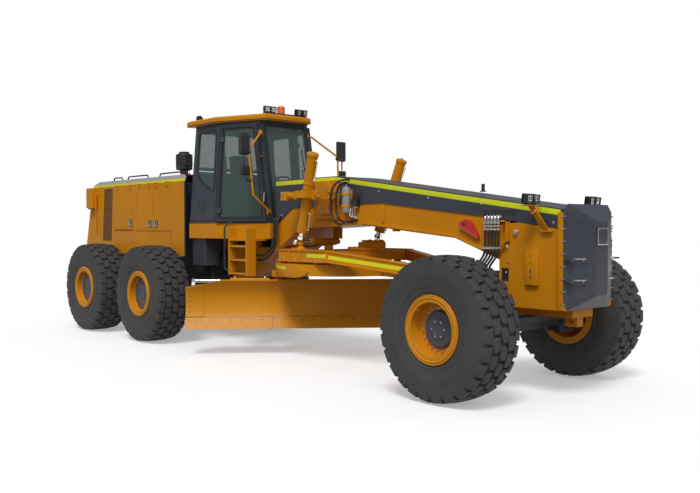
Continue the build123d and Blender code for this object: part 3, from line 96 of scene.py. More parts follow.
def principled(name, inputs):
    """New material with its tree, its shader and the object's coordinates."""
    mat = bpy.data.materials.new(name)
    mat.use_nodes = True
    bsdf = mat.node_tree.nodes["Principled BSDF"]
    for key, value in inputs.items():
        bsdf.inputs[key].default_value = value
    return mat, mat.node_tree, bsdf, add_node(mat.node_tree, "TexCoord").outputs["Object"]


def material(name, color, rough=0.5, metal=0.0, vary=0.06, scale=6.0, bump=0.0, bump_scale=400.0, dust=0.0,
             coat=0.0, rough_vary=0.08, specular=0.5):
    """Painted, moulded or metal surface: large soft variation, dust towards the ground, fine bump."""
    inputs = {"Metallic": metal, "Coat Weight": coat, "Coat Roughness": 0.12, "Specular IOR Level": specular}
    mat, nt, bsdf, place = principled(name, inputs)
    soft = add_node(nt, "TexNoise", {"Vector": place, "Scale": scale, "Detail": 5}).outputs["Fac"]
    share = add_node(nt, "MapRange", {"Value": soft, "From Min": 0.3, "From Max": 0.7}).outputs["Result"]
    tint = mixed(nt, share, shade(color, 1 - vary), shade(color, 1 + vary))
    if dust:
        height = add_node(nt, "SeparateXYZ", {"Vector": place}).outputs["Z"]
        fade = {"Value": height, "From Min": DUST_FROM, "From Max": DUST_TO, "To Max": dust}
        low = add_node(nt, "MapRange", fade)
        patch = add_node(nt, "TexNoise", {"Vector": place, "Scale": 2.3, "Detail": 8})
        both = add_node(nt, "Math", {0: low.outputs["Result"], 1: patch.outputs["Fac"]}, operation="MULTIPLY")
        tint = mixed(nt, both.outputs["Value"], tint, DUST)
    nt.links.new(tint, bsdf.inputs["Base Color"])
    gloss = add_node(nt, "MapRange", {"Value": soft, "To Min": max(0.02, rough - rough_vary),
                                      "To Max": min(1, rough + rough_vary)})
    nt.links.new(gloss.outputs["Result"], bsdf.inputs["Roughness"])
    if bump:
        fine = add_node(nt, "TexNoise", {"Vector": place, "Scale": bump_scale, "Detail": 3})
        relief = add_node(nt, "Bump", {"Height": fine.outputs["Fac"], "Strength": bump, "Distance": 0.002})
        nt.links.new(relief.outputs["Normal"], bsdf.inputs["Normal"])
    return mat


def glass(name, color, rough, alpha):
    """Tinted pane that is seen through."""
    inputs = {"Roughness": rough, "Alpha": alpha, "Coat Weight": 1.0, "Coat Roughness": 0.02}
    mat, nt, bsdf, place = principled(name, inputs)
    soft = add_node(nt, "TexNoise", {"Vector": place, "Scale": 3}).outputs["Fac"]
    nt.links.new(mixed(nt, soft, shade(color, 0.85), shade(color, 1)), bsdf.inputs["Base Color"])
    mat.surface_render_method = "BLENDED"
    return mat


YELLOW = material("paint_yellow", (0.65, 0.25, 0.004), 0.38, vary=0.05, scale=1.4, bump=0.06, bump_scale=160,
                  dust=0.10, coat=0.04, specular=0.12)
DARK = material("paint_slate", (0.052, 0.056, 0.075), 0.42, vary=0.08, scale=1.8, bump=0.06, bump_scale=180,
                dust=0.12, coat=0.06, specular=0.25)
RUBBER = material("tyre_rubber", (0.030, 0.031, 0.034), 0.72, vary=0.18, scale=9, bump=0.35, bump_scale=120,
                  dust=0.12)
BLACK = material("black_plastic", (0.016, 0.017, 0.019), 0.5, vary=0.1, scale=20, bump=0.15, bump_scale=500)
HOSE = material("hose_rubber", (0.014, 0.014, 0.015), 0.45, vary=0.15, scale=30, bump=0.2, bump_scale=700)
GASKET = material("window_seal", (0.012, 0.012, 0.014), 0.6, vary=0.1, scale=20, bump=0.1)
CHROME = material("chrome", (0.78, 0.79, 0.8), 0.12, 1.0, vary=0.02, scale=30, rough_vary=0.03)
STEEL = material("zinc_steel", (0.45, 0.44, 0.42), 0.38, 0.9, vary=0.1, scale=40, rough_vary=0.1)
RAW = material("worn_steel", (0.23, 0.17, 0.12), 0.55, 0.5, vary=0.25, scale=7, bump=0.3, bump_scale=90)
STRIPE = material("reflective_stripe", (0.74, 0.80, 0.006), 0.4, vary=0.04, scale=12, bump=0.12,
                  bump_scale=900)
PALE = material("hood_top_grey", (0.30, 0.30, 0.31), 0.45, vary=0.07, scale=2, bump=0.06, bump_scale=180)
# painted shade: the yellow paint darkened to about a third, for the recessed grilles, the hood vents and the
# screen's backing
MESH = material("grille_painted_shade", (0.19, 0.08, 0.012), 0.6, vary=0.2, scale=9, specular=0.3)
RED = material("red_paint", (0.55, 0.018, 0.015), 0.3, vary=0.05, scale=10, coat=0.4)
ORANGE = material("orange_lens", (0.85, 0.16, 0.01), 0.18, vary=0.04, scale=30, coat=0.6)
LENS = material("lamp_lens", (0.62, 0.64, 0.66), 0.12, 0.35, vary=0.08, scale=60, bump=0.5, bump_scale=60,
                coat=0.8)
FABRIC = material("seat_cloth", (0.035, 0.040, 0.055), 0.9, vary=0.25, scale=180, bump=0.5, bump_scale=900)
FLOOR = material("floor_pale", (0.78, 0.78, 0.78), 0.7, vary=0.01, scale=1)
INNER = material("engine_grey", (0.09, 0.09, 0.095), 0.6, vary=0.2, scale=4)
GLASS = glass("tinted_glass", (0.10, 0.17, 0.155), 0.03, 0.42)

# what the CAD nodes carry; the ones that aren't named here are yellow
LOOKS = (
    (DARK, "frame_cover nose_cover front_axle lean_bar tie_rod cab_frame cab_door_right cab_door_left "
           "tandem_cases rear_frame lean_bracket_right lean_bracket_left knuckle_right knuckle_left"),
    (GLASS, "cab_glass cab_door_glass_right cab_door_glass_left"),
    (BLACK, "cab_fittings cab_interior hood_top_fittings"),
    (CHROME, "side_shift_rod lift_rod_right lift_rod_left centre_shift_rod"),
    # the hood vents take the grille's painted shade
    (STEEL, "tie_rod_stud"), (INNER, "engine_block"), (MESH, "hood_vents"), (HOSE, "hoses"),
    (FABRIC, "seat_cushions"),
)
NODE_LOOKS = {name: look for look, names in LOOKS for name in names.split()}
for name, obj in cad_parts.items():
    for material_slot in obj.material_slots:
        material_slot.material = NODE_LOOKS.get(name, YELLOW)
# nodes whose edges catch light
EDGED = ("front_frame front_post frame_cover nose_cover cab_roof cab_platform cab_frame drawbar circle "
         "moldboard tip_frame front_axle tandem_cases rear_frame")
for name in EDGED.split():
    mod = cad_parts[name].modifiers.new("edges", "BEVEL")
    mod.width = 0.006
    mod.segments = 2
    mod.limit_method = "ANGLE"
    mod.angle_limit = math.radians(40)


# ---- mesh kit -----------------------------------------------------------------------------------------
def rect(x0, y0, x1, y1):
    """Outline of a rectangle."""
    return [(x0, y0), (x1, y0), (x1, y1), (x0, y1)]


def arced(a, b, c, cut, steps):
    """Points of the round corner that replaces b between a and c, cut back by a distance."""
    u, v = (a - b).normalized(), (c - b).normalized()
    shares = [k / steps for k in range(steps + 1)]
    return [(b + u * cut) * (1 - t) ** 2 + b * 2 * t * (1 - t) + (b + v * cut) * t * t for t in shares]


def rounded(points, radius, steps=6):
    """Closed outline with its corners rounded, by one radius or by one for each corner."""
    out = []
    count = len(points)
    radii = radius if isinstance(radius, list) else [radius] * count
    for i in range(count):
        a, b, c = (Vector(points[(i + k) % count]) for k in (-1, 0, 1))
        half = max((a - b).angle(c - b) / 2, 0.2)
        cut = min(radii[i] / math.tan(half), (a - b).length * 0.48, (c - b).length * 0.48)
        out += [tuple(p) for p in arced(a, b, c, cut, steps)]
    return out


def grown(points, by):
    """Closed outline moved outwards by a distance."""
    count = len(points)
    area = sum(points[i - 1][0] * points[i][1] - points[i][0] * points[i - 1][1] for i in range(count))
    out = []
    for i in range(count):
        a, b, c = (Vector(points[(i + k) % count]) for k in (-1, 0, 1))
        e = (c - a).normalized() * (by if area > 0 else -by)
        out.append((b.x + e.y, b.y - e.x))
    return out


def around(centre, r, count, plane="xy", shift=0.0):
    """Points on a circle in the plane of two axes; the first stands shift steps along."""
    u, v = (Vector([float(axis == name) for axis in "xyz"]) for name in plane)
    turns = [2 * math.pi * (k + shift) / count for k in range(count)]
    return [centre + (u * math.cos(t) + v * math.sin(t)) * r for t in turns]


class Bits:
    """Collects small solids into one piece."""

    def __init__(self):
        self.bm = bmesh.new()
        self.mats = []

    def paint(self, faces, mat):
        if mat not in self.mats:
            self.mats.append(mat)
        for f in faces:
            f.material_index = self.mats.index(mat)

    def loft(self, rings, mat, bevel=0.0, closed=False, segments=2, limit=0.5):
        """Solid through equal rings of points; caps at both ends unless closed, edges over limit bevelled."""
        n, count = len(rings[0]), len(rings)
        verts = [self.bm.verts.new(Vector(p)) for ring in rings for p in ring]
        faces = []
        for k in range(count if closed else count - 1):
            a, b = k * n, ((k + 1) % count) * n
            faces += [(a + i, a + (i + 1) % n, b + (i + 1) % n, b + i) for i in range(n)]
        if not closed:
            faces += [tuple(range(n)), tuple((count - 1) * n + i for i in range(n))]
        done = [self.bm.faces.new([verts[i] for i in f]) for f in faces]
        bmesh.ops.recalc_face_normals(self.bm, faces=done)
        self.paint(done, mat)
        if bevel:
            edges = dict.fromkeys(e for f in done for e in f.edges if len(e.link_faces) == 2)
            edges = [e for e in edges if e.calc_face_angle(0) > limit]
            out = bmesh.ops.bevel(self.bm, geom=edges, offset=bevel, segments=segments, profile=0.6,
                                  affect="EDGES", clamp_overlap=True)
            self.paint([f for f in done + list(out["faces"]) if f.is_valid], mat)

    def prism(self, outline, shift, mat, bevel=0.003):
        """Outline of points moved along shift."""
        shift = Vector(shift)
        self.loft([[Vector(p) for p in outline], [Vector(p) + shift for p in outline]], mat, bevel)

    def plate(self, place, outline, low, thick, mat, bevel=0.003):
        """Flat plate on a surface, where place turns (u, v, out) into a point."""
        self.loft([[place(u, v, out) for u, v in outline] for out in (low, low + thick)], mat, bevel)

    def rim(self, place, outer, inner, low, high, mat, bevel=0.0):
        """Frame between two outlines with equal counts, on a surface as for plate."""
        loops = ((outer, low), (outer, high), (inner, high), (inner, low))
        self.loft([[place(u, v, out) for u, v in line] for line, out in loops], mat, bevel, closed=True)

    def box(self, lo, hi, mat, bevel=0.004, turn=None):
        """Box between two corners, turned about its middle."""
        rings = [[Vector((x, y, z)) for x, y in rect(lo[0], lo[1], hi[0], hi[1])] for z in (lo[2], hi[2])]
        if turn is not None:
            mid = (Vector(lo) + Vector(hi)) / 2
            rings = [[mid + turn @ (p - mid) for p in r] for r in rings]
        self.loft(rings, mat, bevel)

    def spin(self, profile, origin, axis, mat, sides=32, closed=False):
        """Revolves (radius, height) points about axis."""
        axis = Vector(axis).normalized()
        side = axis.orthogonal().normalized()
        up = axis.cross(side)
        turns = [2 * math.pi * i / sides for i in range(sides)]
        spokes = [side * math.cos(t) + up * math.sin(t) for t in turns]
        rings = [[Vector(origin) + axis * h + spoke * r for spoke in spokes] for r, h in profile]
        self.loft(rings, mat, 0, closed, limit=0.6)

    def rod(self, a, b, r, mat, sides=16, bevel=0.002, r2=None):
        """Bar from a to b, with its ends chamfered and, given r2, tapered."""
        a, b = Vector(a), Vector(b)
        length = (b - a).length
        e = min(bevel, r * 0.4)
        end = r if r2 is None else r2
        chamfered = [(r - e, 0), (r, e), (end, length - e), (end - e, length)]
        self.spin(chamfered if bevel else [(r, 0), (end, length)], a, b - a, mat, sides)

    def bolts(self, points, axis, size, mat, washer=True):
        """Hexagon heads with washers; size is the head's half width."""
        for p in points:
            if washer:
                self.spin([(size * 1.35, 0), (size * 1.35, size * 0.22)], p, axis, mat, 14)
            self.spin([(size, 0), (size, size * 0.9), (size * 0.85, size * 1.05)], p, axis, mat, 6)

    def nut(self, origin, axis, r, tall, mat):
        self.spin([(r * 0.8, 0), (r, 0.002), (r, tall - 0.002), (r * 0.8, tall)], origin, axis, mat, 6)

    def disc(self, origin, axis, r, tall, mat, sides, low=0.0):
        """Flat foot with a chamfered rim."""
        self.spin([(0.001, low), (r, low), (r - 0.002, tall), (0.001, tall + 0.001)], origin, axis, mat,
                  sides)

    def collar(self, origin, axis, inner, outer, low, tall, mat, sides=36, edge=0.002, closed=False):
        """Band round a pipe, from low along its axis."""
        prof = [(inner, low), (outer, low + edge), (outer, low + tall - edge), (inner, low + tall)]
        self.spin(prof, origin, axis, mat, sides, closed)

    def run(self, line, r, mat, sides=10):
        """Tube along the points as they are."""
        line = [Vector(p) for p in line]
        side = (line[1] - line[0]).orthogonal().normalized()
        turns = [2 * math.pi * k / sides for k in range(sides)]
        rings = []
        for i, p in enumerate(line):
            new = (line[min(i + 1, len(line) - 1)] - line[max(i - 1, 0)]).normalized()
            side = (side - new * side.dot(new)).normalized()
            up = new.cross(side)
            rings.append([p + (side * math.cos(t) + up * math.sin(t)) * r for t in turns])
        self.loft(rings, mat)

    def bent(self, points, r, mat, radius=0.05, sides=12, steps=5):
        """Tube of straight runs with rounded corners."""
        pts = [Vector(p) for p in points]
        line = [pts[0]]
        for a, b, c in zip(pts, pts[1:], pts[2:]):
            half = (a - b).angle(c - b) / 2
            cut = min(radius / math.tan(half), (a - b).length * 0.45, (c - b).length * 0.45)
            line += arced(a, b, c, cut, steps)
        self.run(line + [pts[-1]], r, mat, sides)

    def mesh(self, name, smooth=35):
        """What was collected, as a mesh shaded smooth up to an angle in degrees."""
        mesh = bpy.data.meshes.new(name)
        self.bm.to_mesh(mesh)
        self.bm.free()
        for m in self.mats:
            mesh.materials.append(m)
        mesh.polygons.foreach_set("use_smooth", [True] * len(mesh.polygons))
        mesh.set_sharp_from_angle(angle=math.radians(smooth))
        return mesh

    def piece(self, name, body, replaces=()):
        """What was collected, as a piece on its body."""
        ride(linked(name, self.mesh(name)), body, replaces)


# ---- tyres --------------------------------------------------------------------------------------------
AXLE_Z, TRACK_HALF = 0.8085, 1.264
AXLES = (("front", 0.0), ("middle", -6.63), ("rear", -8.75))
PITCHES = 26                 # tread blocks round the tyre
# half section of the carcass: (y, radius)
CARCASS = ((0.2440, 0.3185), (0.2445, 0.386), (0.256, 0.410), (0.266, 0.424), (0.2665, 0.436), (0.263, 0.443),
           (0.272, 0.462), (0.284, 0.495), (0.2925, 0.530), (0.2965, 0.565), (0.2985, 0.572), (0.2985, 0.580),
           (0.2965, 0.587), (0.2950, 0.620), (0.2905, 0.655), (0.2840, 0.690), (0.2765, 0.718),
           (0.2650, 0.742), (0.2480, 0.757), (0.2000, 0.7635), (0.1000, 0.7690), (0.0, 0.7705))
# tread blocks: (row's y, pitch shift, outline of (pitch share, y))
BLOCKS = (
    (0.0, 0.0,
     ((-0.43, -0.026), (-0.12, -0.060), (0.43, -0.050), (0.43, 0.026), (0.12, 0.060), (-0.43, 0.050))),
    (0.122, 0.5,
     ((-0.43, -0.050), (0.26, -0.060), (0.44, -0.020), (0.43, 0.046), (-0.24, 0.056), (-0.44, 0.018))),
    (-0.122, 0.5,
     ((-0.43, -0.046), (0.24, -0.056), (0.44, -0.018), (0.43, 0.050), (-0.26, 0.060), (-0.44, 0.020))),
)


def crown(y):
    """Radius of the tread at y."""
    return AXLE_Z - 0.022 * (abs(y) / 0.2657) ** 2


# (y, radius) of the lug that wraps from the tread over the shoulder, and of the small rib between lugs
LUG = ((0.186, crown(0.186)), (0.2657, crown(0.2657)), (0.2775, 0.7335), (0.2875, 0.6900),
       (0.270, 0.700), (0.250, 0.745), (0.186, 0.757))
RIB = ((0.262, 0.757), (0.2785, 0.728), (0.281, 0.712), (0.262, 0.712))
SIDEWALL_RINGS = ((0.470, 0.2765), (0.552, 0.2957), (0.600, 0.2968))       # (radius, y)


def tyre_bits():
    bits = Bits()
    half = [(r, -y) for y, r in CARCASS]
    bits.spin(half + [(r, -h) for r, h in reversed(half[:-1])], (0, 0, 0), (0, 1, 0), RUBBER, 104,
              closed=True)
    pitch = 2 * math.pi / PITCHES

    def point(t, y, r):
        return Vector((r * math.cos(t), y, r * math.sin(t)))

    for k in range(PITCHES):
        for y0, shift, outline in BLOCKS:
            mid = (k + shift) * pitch
            low = [point(mid + s * pitch * 1.02, y0 + y * 1.04, 0.762) for s, y in outline]
            top = [point(mid + s * pitch * 0.93, y0 + y * 0.93, crown(y0 + y)) for s, y in outline]
            bits.loft([low, top], RUBBER, 0.005, segments=1)
        for side in (-1, 1):
            mid = (k + (0.0 if side > 0 else 0.08)) * pitch
            rings = []
            for w, skew in ((-0.37, -0.10), (0.37, 0.10)):
                narrow = [0.78 if i in (3, 4) else 1.0 for i in range(len(LUG))]
                lead = [skew * side if i in (0, 6) else 0 for i in range(len(LUG))]
                rings.append([point(mid + (w * thin + ahead) * pitch, y * side, r)
                              for (y, r), thin, ahead in zip(LUG, narrow, lead)])
            bits.loft(rings, RUBBER, 0.006, segments=1)
            gap = mid + 0.5 * pitch
            rings = [[point(gap + w * pitch, y * side, r) for y, r in RIB] for w in (-0.06, 0.06)]
            bits.loft(rings, RUBBER, 0.003, segments=1)
    for side in (-1, 1):
        for r, y in SIDEWALL_RINGS:
            section = [(r - 0.003, y - 0.004), (r - 0.0015, y + 0.0014), (r + 0.0015, y + 0.0014),
                       (r + 0.003, y - 0.004)]
            bits.spin(section, (0, 0, 0), (0, side, 0), RUBBER, 96, closed=True)
    return bits


TYRE_MESH = tyre_bits().mesh("tyre_tread", 32)
for axle, x in AXLES:
    for side, s in SIDES:
        tyre = linked(f"tread_{axle}_{side}", TYRE_MESH)
        turn = Matrix.Rotation(0 if s > 0 else math.pi, 4, "Z")
        tyre.matrix_world = Matrix.Translation(at(x, s * TRACK_HALF, AXLE_Z)) @ turn
        ride(tyre, f"wheel_{axle}_{side}", (f"tyre_{axle}_{side}",))

# ---- camera, light, floor -----------------------------------------------------------------------------
cam_data = bpy.data.cameras.new("camera")
cam_data.lens = 42.61
cam_data.sensor_width = 36
cam = linked("camera", cam_data)
cam.location = (10.508, -8.087, 1.910)
cam.rotation_euler = (math.radians(88.708), 0, math.radians(48.283))
bpy.context.scene.camera = cam

FLOOR_HALF = 60
floor_mesh = bpy.data.meshes.new("floor")
corners = [(x, y, 0) for x, y in rect(-FLOOR_HALF, -FLOOR_HALF, FLOOR_HALF, FLOOR_HALF)]
floor_mesh.from_pydata(corners, [], [(0, 1, 2, 3)])
floor_mesh.materials.append(FLOOR)
floor = linked("floor", floor_mesh)
floor.location = (0, 0, -0.002)


def whiten_floor():
    """Seen directly or in gloss the floor is lighter than it lights; it still takes the shadow."""
    nt = FLOOR.node_tree
    path = add_node(nt, "LightPath")
    less = add_node(nt, "Math", {0: 1.0, 1: path.outputs["Is Diffuse Ray"]}, operation="SUBTRACT")
    glow = add_node(nt, "Emission", {"Strength": 0.33})
    light = add_node(nt, "AddShader", {0: nt.nodes["Principled BSDF"].outputs[0], 1: glow.outputs[0]})
    dim = add_node(nt, "BsdfDiffuse", {"Color": (0.26, 0.26, 0.26, 1)})
    mix = add_node(nt, "MixShader", {0: less.outputs[0], 1: dim.outputs[0], 2: light.outputs[0]})
    nt.links.new(mix.outputs[0], nt.nodes["Material Output"].inputs["Surface"])


def light_world():
    """Soft grey sky that brightens upwards; white where the camera sees it, directly or through glass."""
    world = bpy.data.worlds.new("world")
    bpy.context.scene.world = world
    world.use_nodes = True
    nt = world.node_tree
    height = add_node(nt, "SeparateXYZ", {0: add_node(nt, "TexCoord").outputs["Generated"]})
    ramp = add_node(nt, "ValToRGB", {0: height.outputs["Z"]})
    steps = ((0.0, (0.55, 0.56, 0.58, 1)), (0.65, (1, 1, 1, 1)))
    for element, (position, color) in zip(ramp.color_ramp.elements, steps):
        element.position, element.color = position, color
    back = nt.nodes["Background"]
    nt.links.new(ramp.outputs[0], back.inputs["Color"])
    back.inputs["Strength"].default_value = 0.42
    white = add_node(nt, "Background", {"Color": (1, 1, 1, 1)})
    path = add_node(nt, "LightPath")
    seen = add_node(nt, "Math", {0: path.outputs["Is Camera Ray"], 1: path.outputs["Is Transmission Ray"]},
                    operation="MAXIMUM")
    mix = add_node(nt, "MixShader", {0: seen.outputs[0], 1: back.outputs[0], 2: white.outputs[0]})
    nt.links.new(mix.outputs[0], nt.nodes["World Output"].inputs["Surface"])


whiten_floor()
light_world()
# name, energy, angle, and tilts about x, y and z in degrees
for name, energy, angle, tilt in (("key", 1.75, 18, (34, 10, 20)), ("fill", 0.55, 45, (62, 0, 60))):
    data = bpy.data.lights.new(name, "SUN")
    data.energy = energy
    data.angle = math.radians(angle)
    linked(name, data).rotation_euler = [math.radians(a) for a in tilt]
bpy.context.scene.view_settings.view_transform = "Standard"

# ---- rims ---------------------------------------------------------------------------------------------
# dark hub plate's radius, disc's face, plate's top, stud circle's radius, studs
FRONT_RIM = (0.205, 0.085, 0.135, 0.243, 20)
DRIVE_RIM = (0.262, 0.145, 0.192, 0.225, 10)
RIM_LIP = ((0.3005, 0.235), (0.3005, 0.262), (0.318, 0.266), (0.330, 0.2625), (0.334, 0.267), (0.350, 0.2725),
           (0.358, 0.268), (0.361, 0.2625), (0.368, 0.2665), (0.377, 0.2675), (0.3825, 0.262),
           (0.3825, 0.2555), (0.330, 0.2555), (0.320, 0.235))


def rim_details(axle, x, side, s):
    front = axle == "front"
    plate_r, face, top, ring_r, studs = FRONT_RIM if front else DRIVE_RIM
    c = at(x, s * TRACK_HALF, AXLE_Z)
    out = Vector((0, s, 0))
    bits = Bits()
    bits.spin(RIM_LIP, c, out, YELLOW, 80, closed=True)
    # lock ring's split, and the valve
    cut, half = c + out * 0.264 + Vector((0.24, 0, 0.24)), Vector((0.022, 0.006, 0.016))
    bits.box(cut - half, cut + half, YELLOW, 0.004)
    bits.rod(c + out * 0.24 + Vector((-0.2, 0, 0.215)), c + out * 0.262 + Vector((-0.19, 0, 0.2)), 0.007,
             STEEL)
    back = [(0.299, face + 0.03), (0.299, face - 0.02), (plate_r + 0.002, face + 0.002),
            (plate_r + 0.002, face + 0.014), (plate_r + 0.02, face + 0.016)]
    bits.spin(back, c, out, YELLOW, 64, closed=True)
    if front:
        hub = [(0.001, top), (0.06, top), (0.066, top + 0.008), (0.11, top + 0.008), (0.116, top),
               (plate_r - 0.012, top), (plate_r, top - 0.012), (plate_r, face), (0.001, face)]
    else:
        hub = [(0.001, top - 0.002), (0.09, top - 0.002), (0.092, top + 0.004), (0.10, top + 0.004),
               (0.102, top - 0.002), (plate_r - 0.03, top - 0.004), (plate_r - 0.004, top - 0.012),
               (plate_r, face + 0.01), (plate_r, face), (0.001, face)]
    bits.spin(hub, c, out, DARK, 56)
    for spot in around(c, ring_r, studs, "xz", 0.5):
        if front:
            bits.bolts([spot + out * (face + 0.014)], out, 0.0135, STEEL)
            bits.rod(spot + out * (face + 0.02), spot + out * (face + 0.045), 0.0075, STEEL, 8)
        else:
            bits.bolts([spot + out * (top - 0.008)], out, 0.0095, STEEL)
    if front:
        bits.bolts(around(c + out * (top + 0.008), 0.09, 6, "xz"), out, 0.008, STEEL)
    bits.piece(f"rim_trim_{axle}_{side}", f"wheel_{axle}_{side}")


for axle, x in AXLES:
    for side, s in SIDES:
        rim_details(axle, x, side, s)


# ---- overlays on CAD surfaces -------------------------------------------------------------------------
def skin(name, node, body, mat, keep, lift=0.0015):
    """Thin coat over the faces of a CAD node that keep(centre, normal) picks."""
    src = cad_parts[node].data
    bm = bmesh.new()
    verts = {}
    for poly in src.polygons:
        if keep(poly.center, poly.normal):
            ring = []
            for i in poly.vertices:
                key = (i, *[round(part, 2) for part in poly.normal])
                if key not in verts:
                    verts[key] = bm.verts.new(src.vertices[i].co + poly.normal * lift)
                ring.append(verts[key])
            bm.faces.new(ring)
    bmesh.ops.remove_doubles(bm, verts=bm.verts[:], dist=0.0002)
    mesh = bpy.data.meshes.new(name)
    bm.to_mesh(mesh)
    bm.free()
    mesh.materials.append(mat)
    ride(linked(name, mesh), body)


def band(bits, s, line, drop, y, thick, mat, bevel):
    """Strip below a line of (x, z) points, or above it for a negative drop, on the face at s * y."""
    for (xa, za), (xb, zb) in zip(line, line[1:]):
        bits.plate(flank(s), ((xa, za), (xb, zb), (xb, zb - drop), (xa, za - drop)), y, thick, mat, bevel)


skin("hood_top_coat", "hood", "rear_frame", PALE, lambda c, n: c.z > 2.72 and n.z > 0.3)
for name, body, line, y, drop in (
        ("frame_stripes", "front_frame", ((-4.238, 2.617), (-2.83, 2.627), (0.89, 2.106)), 0.4322, 0.062),
        ("hood_stripes", "rear_frame", ((-6.192, 2.7445), (-9.715, 2.7445)), 0.8752, 0.042)):
    bits = Bits()
    for s in (-1, 1):
        band(bits, s, line, drop, y, 0.0018, STRIPE, 0.0004)
    bits.piece(name, body)

# ---- frame, cover and post ----------------------------------------------------------------------------
COVER_Y, WEB_Y = 0.4325, 0.4205          # outer faces of the cover and nose, and of the girder's web

bits = Bits()
for s in (-1, 1):
    # bolt heads and lid seams of the cover
    for x, z in ((-0.20, 2.19), (-1.05, 2.29), (-1.95, 2.40), (-2.65, 2.44), (-3.45, 2.50), (-4.1, 2.1),
                 (0.80, 1.97)):
        bits.bolts([at(x, s * 0.432, z)], (0, s, 0), 0.011, STEEL)
    for x, z0, z1 in ((-0.30, 2.10, 2.215), (-2.10, 2.27, 2.47), (-3.62, 2.24, 2.56)):
        bits.box(at(x - 0.002, s * 0.4318, z0), at(x + 0.002, s * 0.4332, z1), BLACK, 0)
    # dark slot that the hoses leave from: a black block, painted shade for the opening's dark inside
    bits.box(at(-0.17, s * 0.40, 2.045), at(0.31, s * 0.4345, 2.115), BLACK, 0.006)
    # stiffener on the web, its lower flange, and the bracket with two slots
    bits.box(at(-1.905, s * WEB_Y, 1.985), at(-1.855, s * 0.437, 2.215), YELLOW, 0.004)
    band(bits, s, ((-0.02, 1.575), (-0.62, 1.797), (-2.28, 1.962)), -0.03, WEB_Y, 0.022, YELLOW, 0.004)
    bits.box(at(0.45, s * COVER_Y, 1.27), at(0.62, s * 0.475, 1.66), YELLOW, 0.012)
    # the bracket's two slots are black plates: painted shade for the holes
    for z in (1.36, 1.43):
        bits.box(at(0.525, s * 0.4745, z - 0.022), at(0.537, s * 0.4765, z + 0.022), BLACK, 0)
    bits.bolts([at(0.53, s * 0.4755, z) for z in (1.52, 1.60)], (0, s, 0), 0.006, BLACK, washer=False)
    bits.rod(at(0.30, s * COVER_Y, 1.86), at(0.30, s * 0.452, 1.86), 0.035, STEEL, 18)
    bits.rod(at(0.30, s * 0.452, 1.86), at(0.30, s * 0.47, 1.86), 0.018, STEEL, 12)
    # flange with its bolts along the nose
    bits.box(at(0.885, s * COVER_Y, 1.02), at(0.9545, s * 0.482, 2.075), YELLOW, 0.006)
    for k in range(8):
        z = 1.09 + k * 0.135
        bits.bolts([at(0.945, s * 0.4835, z)], (0, s, 0), 0.009, STEEL)
        bits.rod(at(0.93, s * 0.472, z), at(0.975, s * 0.472, z), 0.008, STEEL, 8)
    # window in the post's foot: a black box, painted shade for the opening
    bits.box(at(0.10, s * 0.428, 1.30), at(0.20, s * 0.4335, 1.45), BLACK, 0)
# black stub on the cover's top
bits.box(at(-0.56, -0.025, 2.357), at(-0.50, 0.025, 2.372), BLACK, 0.004)
bits.rod(at(-0.53, 0, 2.362), at(-0.53, 0, 2.457), 0.022, BLACK, 16, 0.008)
bits.piece("frame_trim", "front_frame")

# red lock lever on the frame's side
LEVER = ((-0.30, 1.94), (-0.35, 1.995), (-0.43, 2.015), (-0.505, 1.985), (-0.53, 1.935), (-0.49, 1.895),
         (-0.25, 1.785), (-0.215, 1.785))
bits = Bits()
for s in (-1, 1):
    bits.plate(flank(s), LEVER, 0.4225, 0.045, RED, 0.01)
    bits.rod(at(-0.44, s * 0.42, 1.955), at(-0.44, s * 0.475, 1.955), 0.02, BLACK, 14)
bits.piece("lock_levers", "front_frame")

# ---- cab ----------------------------------------------------------------------------------------------
HINGE = -5.9                 # x of the articulation
PILLARS = (((-6.08, 0.80), (-6.05, 0.69)), ((-5.30, 0.80), (-5.32, 0.69)), ((-4.36, 0.46), (-4.65, 0.4477)))
RING = PILLARS + tuple(((fx, -fy), (hx, -hy)) for (fx, fy), (hx, hy) in reversed(PILLARS))
CAB_FOOT, CAB_HEAD = 1.98, 3.60
PANE = 0.008


class Wall:
    """Flat wall between two cab pillars: u along it, v up it, out from it."""

    def __init__(self, a, b, seat):
        self.foot_a, self.foot_b = (at(*RING[i][0], CAB_FOOT) for i in (a, b))
        self.head_a, self.head_b = (at(*RING[i][1], CAB_HEAD) for i in (a, b))
        self.u = (self.foot_b - self.foot_a).normalized()
        self.n = self.u.cross(self.head_a - self.foot_a).normalized()
        if self.n.dot(self.foot_a - at(HINGE + 0.6, 0, 2.8)) < 0:
            self.n = -self.n
        self.v = self.n.cross(self.u)
        if self.v.z < 0:
            self.v = -self.v
        self.seat = seat

    def place(self, u, v, out=0.0):
        return self.foot_a + self.u * u + self.v * v + self.n * (self.seat + out)

    def corners(self, low, high, inset):
        """(u, v) of the wall's corners between two shares of its height, pulled in by inset."""
        pts = []
        for foot, head, t, cut in ((self.foot_a, self.head_a, low, inset),
                                   (self.foot_b, self.head_b, low, -inset),
                                   (self.foot_b, self.head_b, high, -inset),
                                   (self.foot_a, self.head_a, high, inset)):
            p = foot.lerp(head, t) - self.foot_a
            pts.append((p.dot(self.u) + cut, p.dot(self.v)))
        return pts


def seal(bits, wall, outline, width, low, high, radius):
    """Rubber strip along the inside of an outline."""
    outer = rounded(outline, radius)
    bits.rim(wall.place, outer, grown(outer, -width), low, high, GASKET)


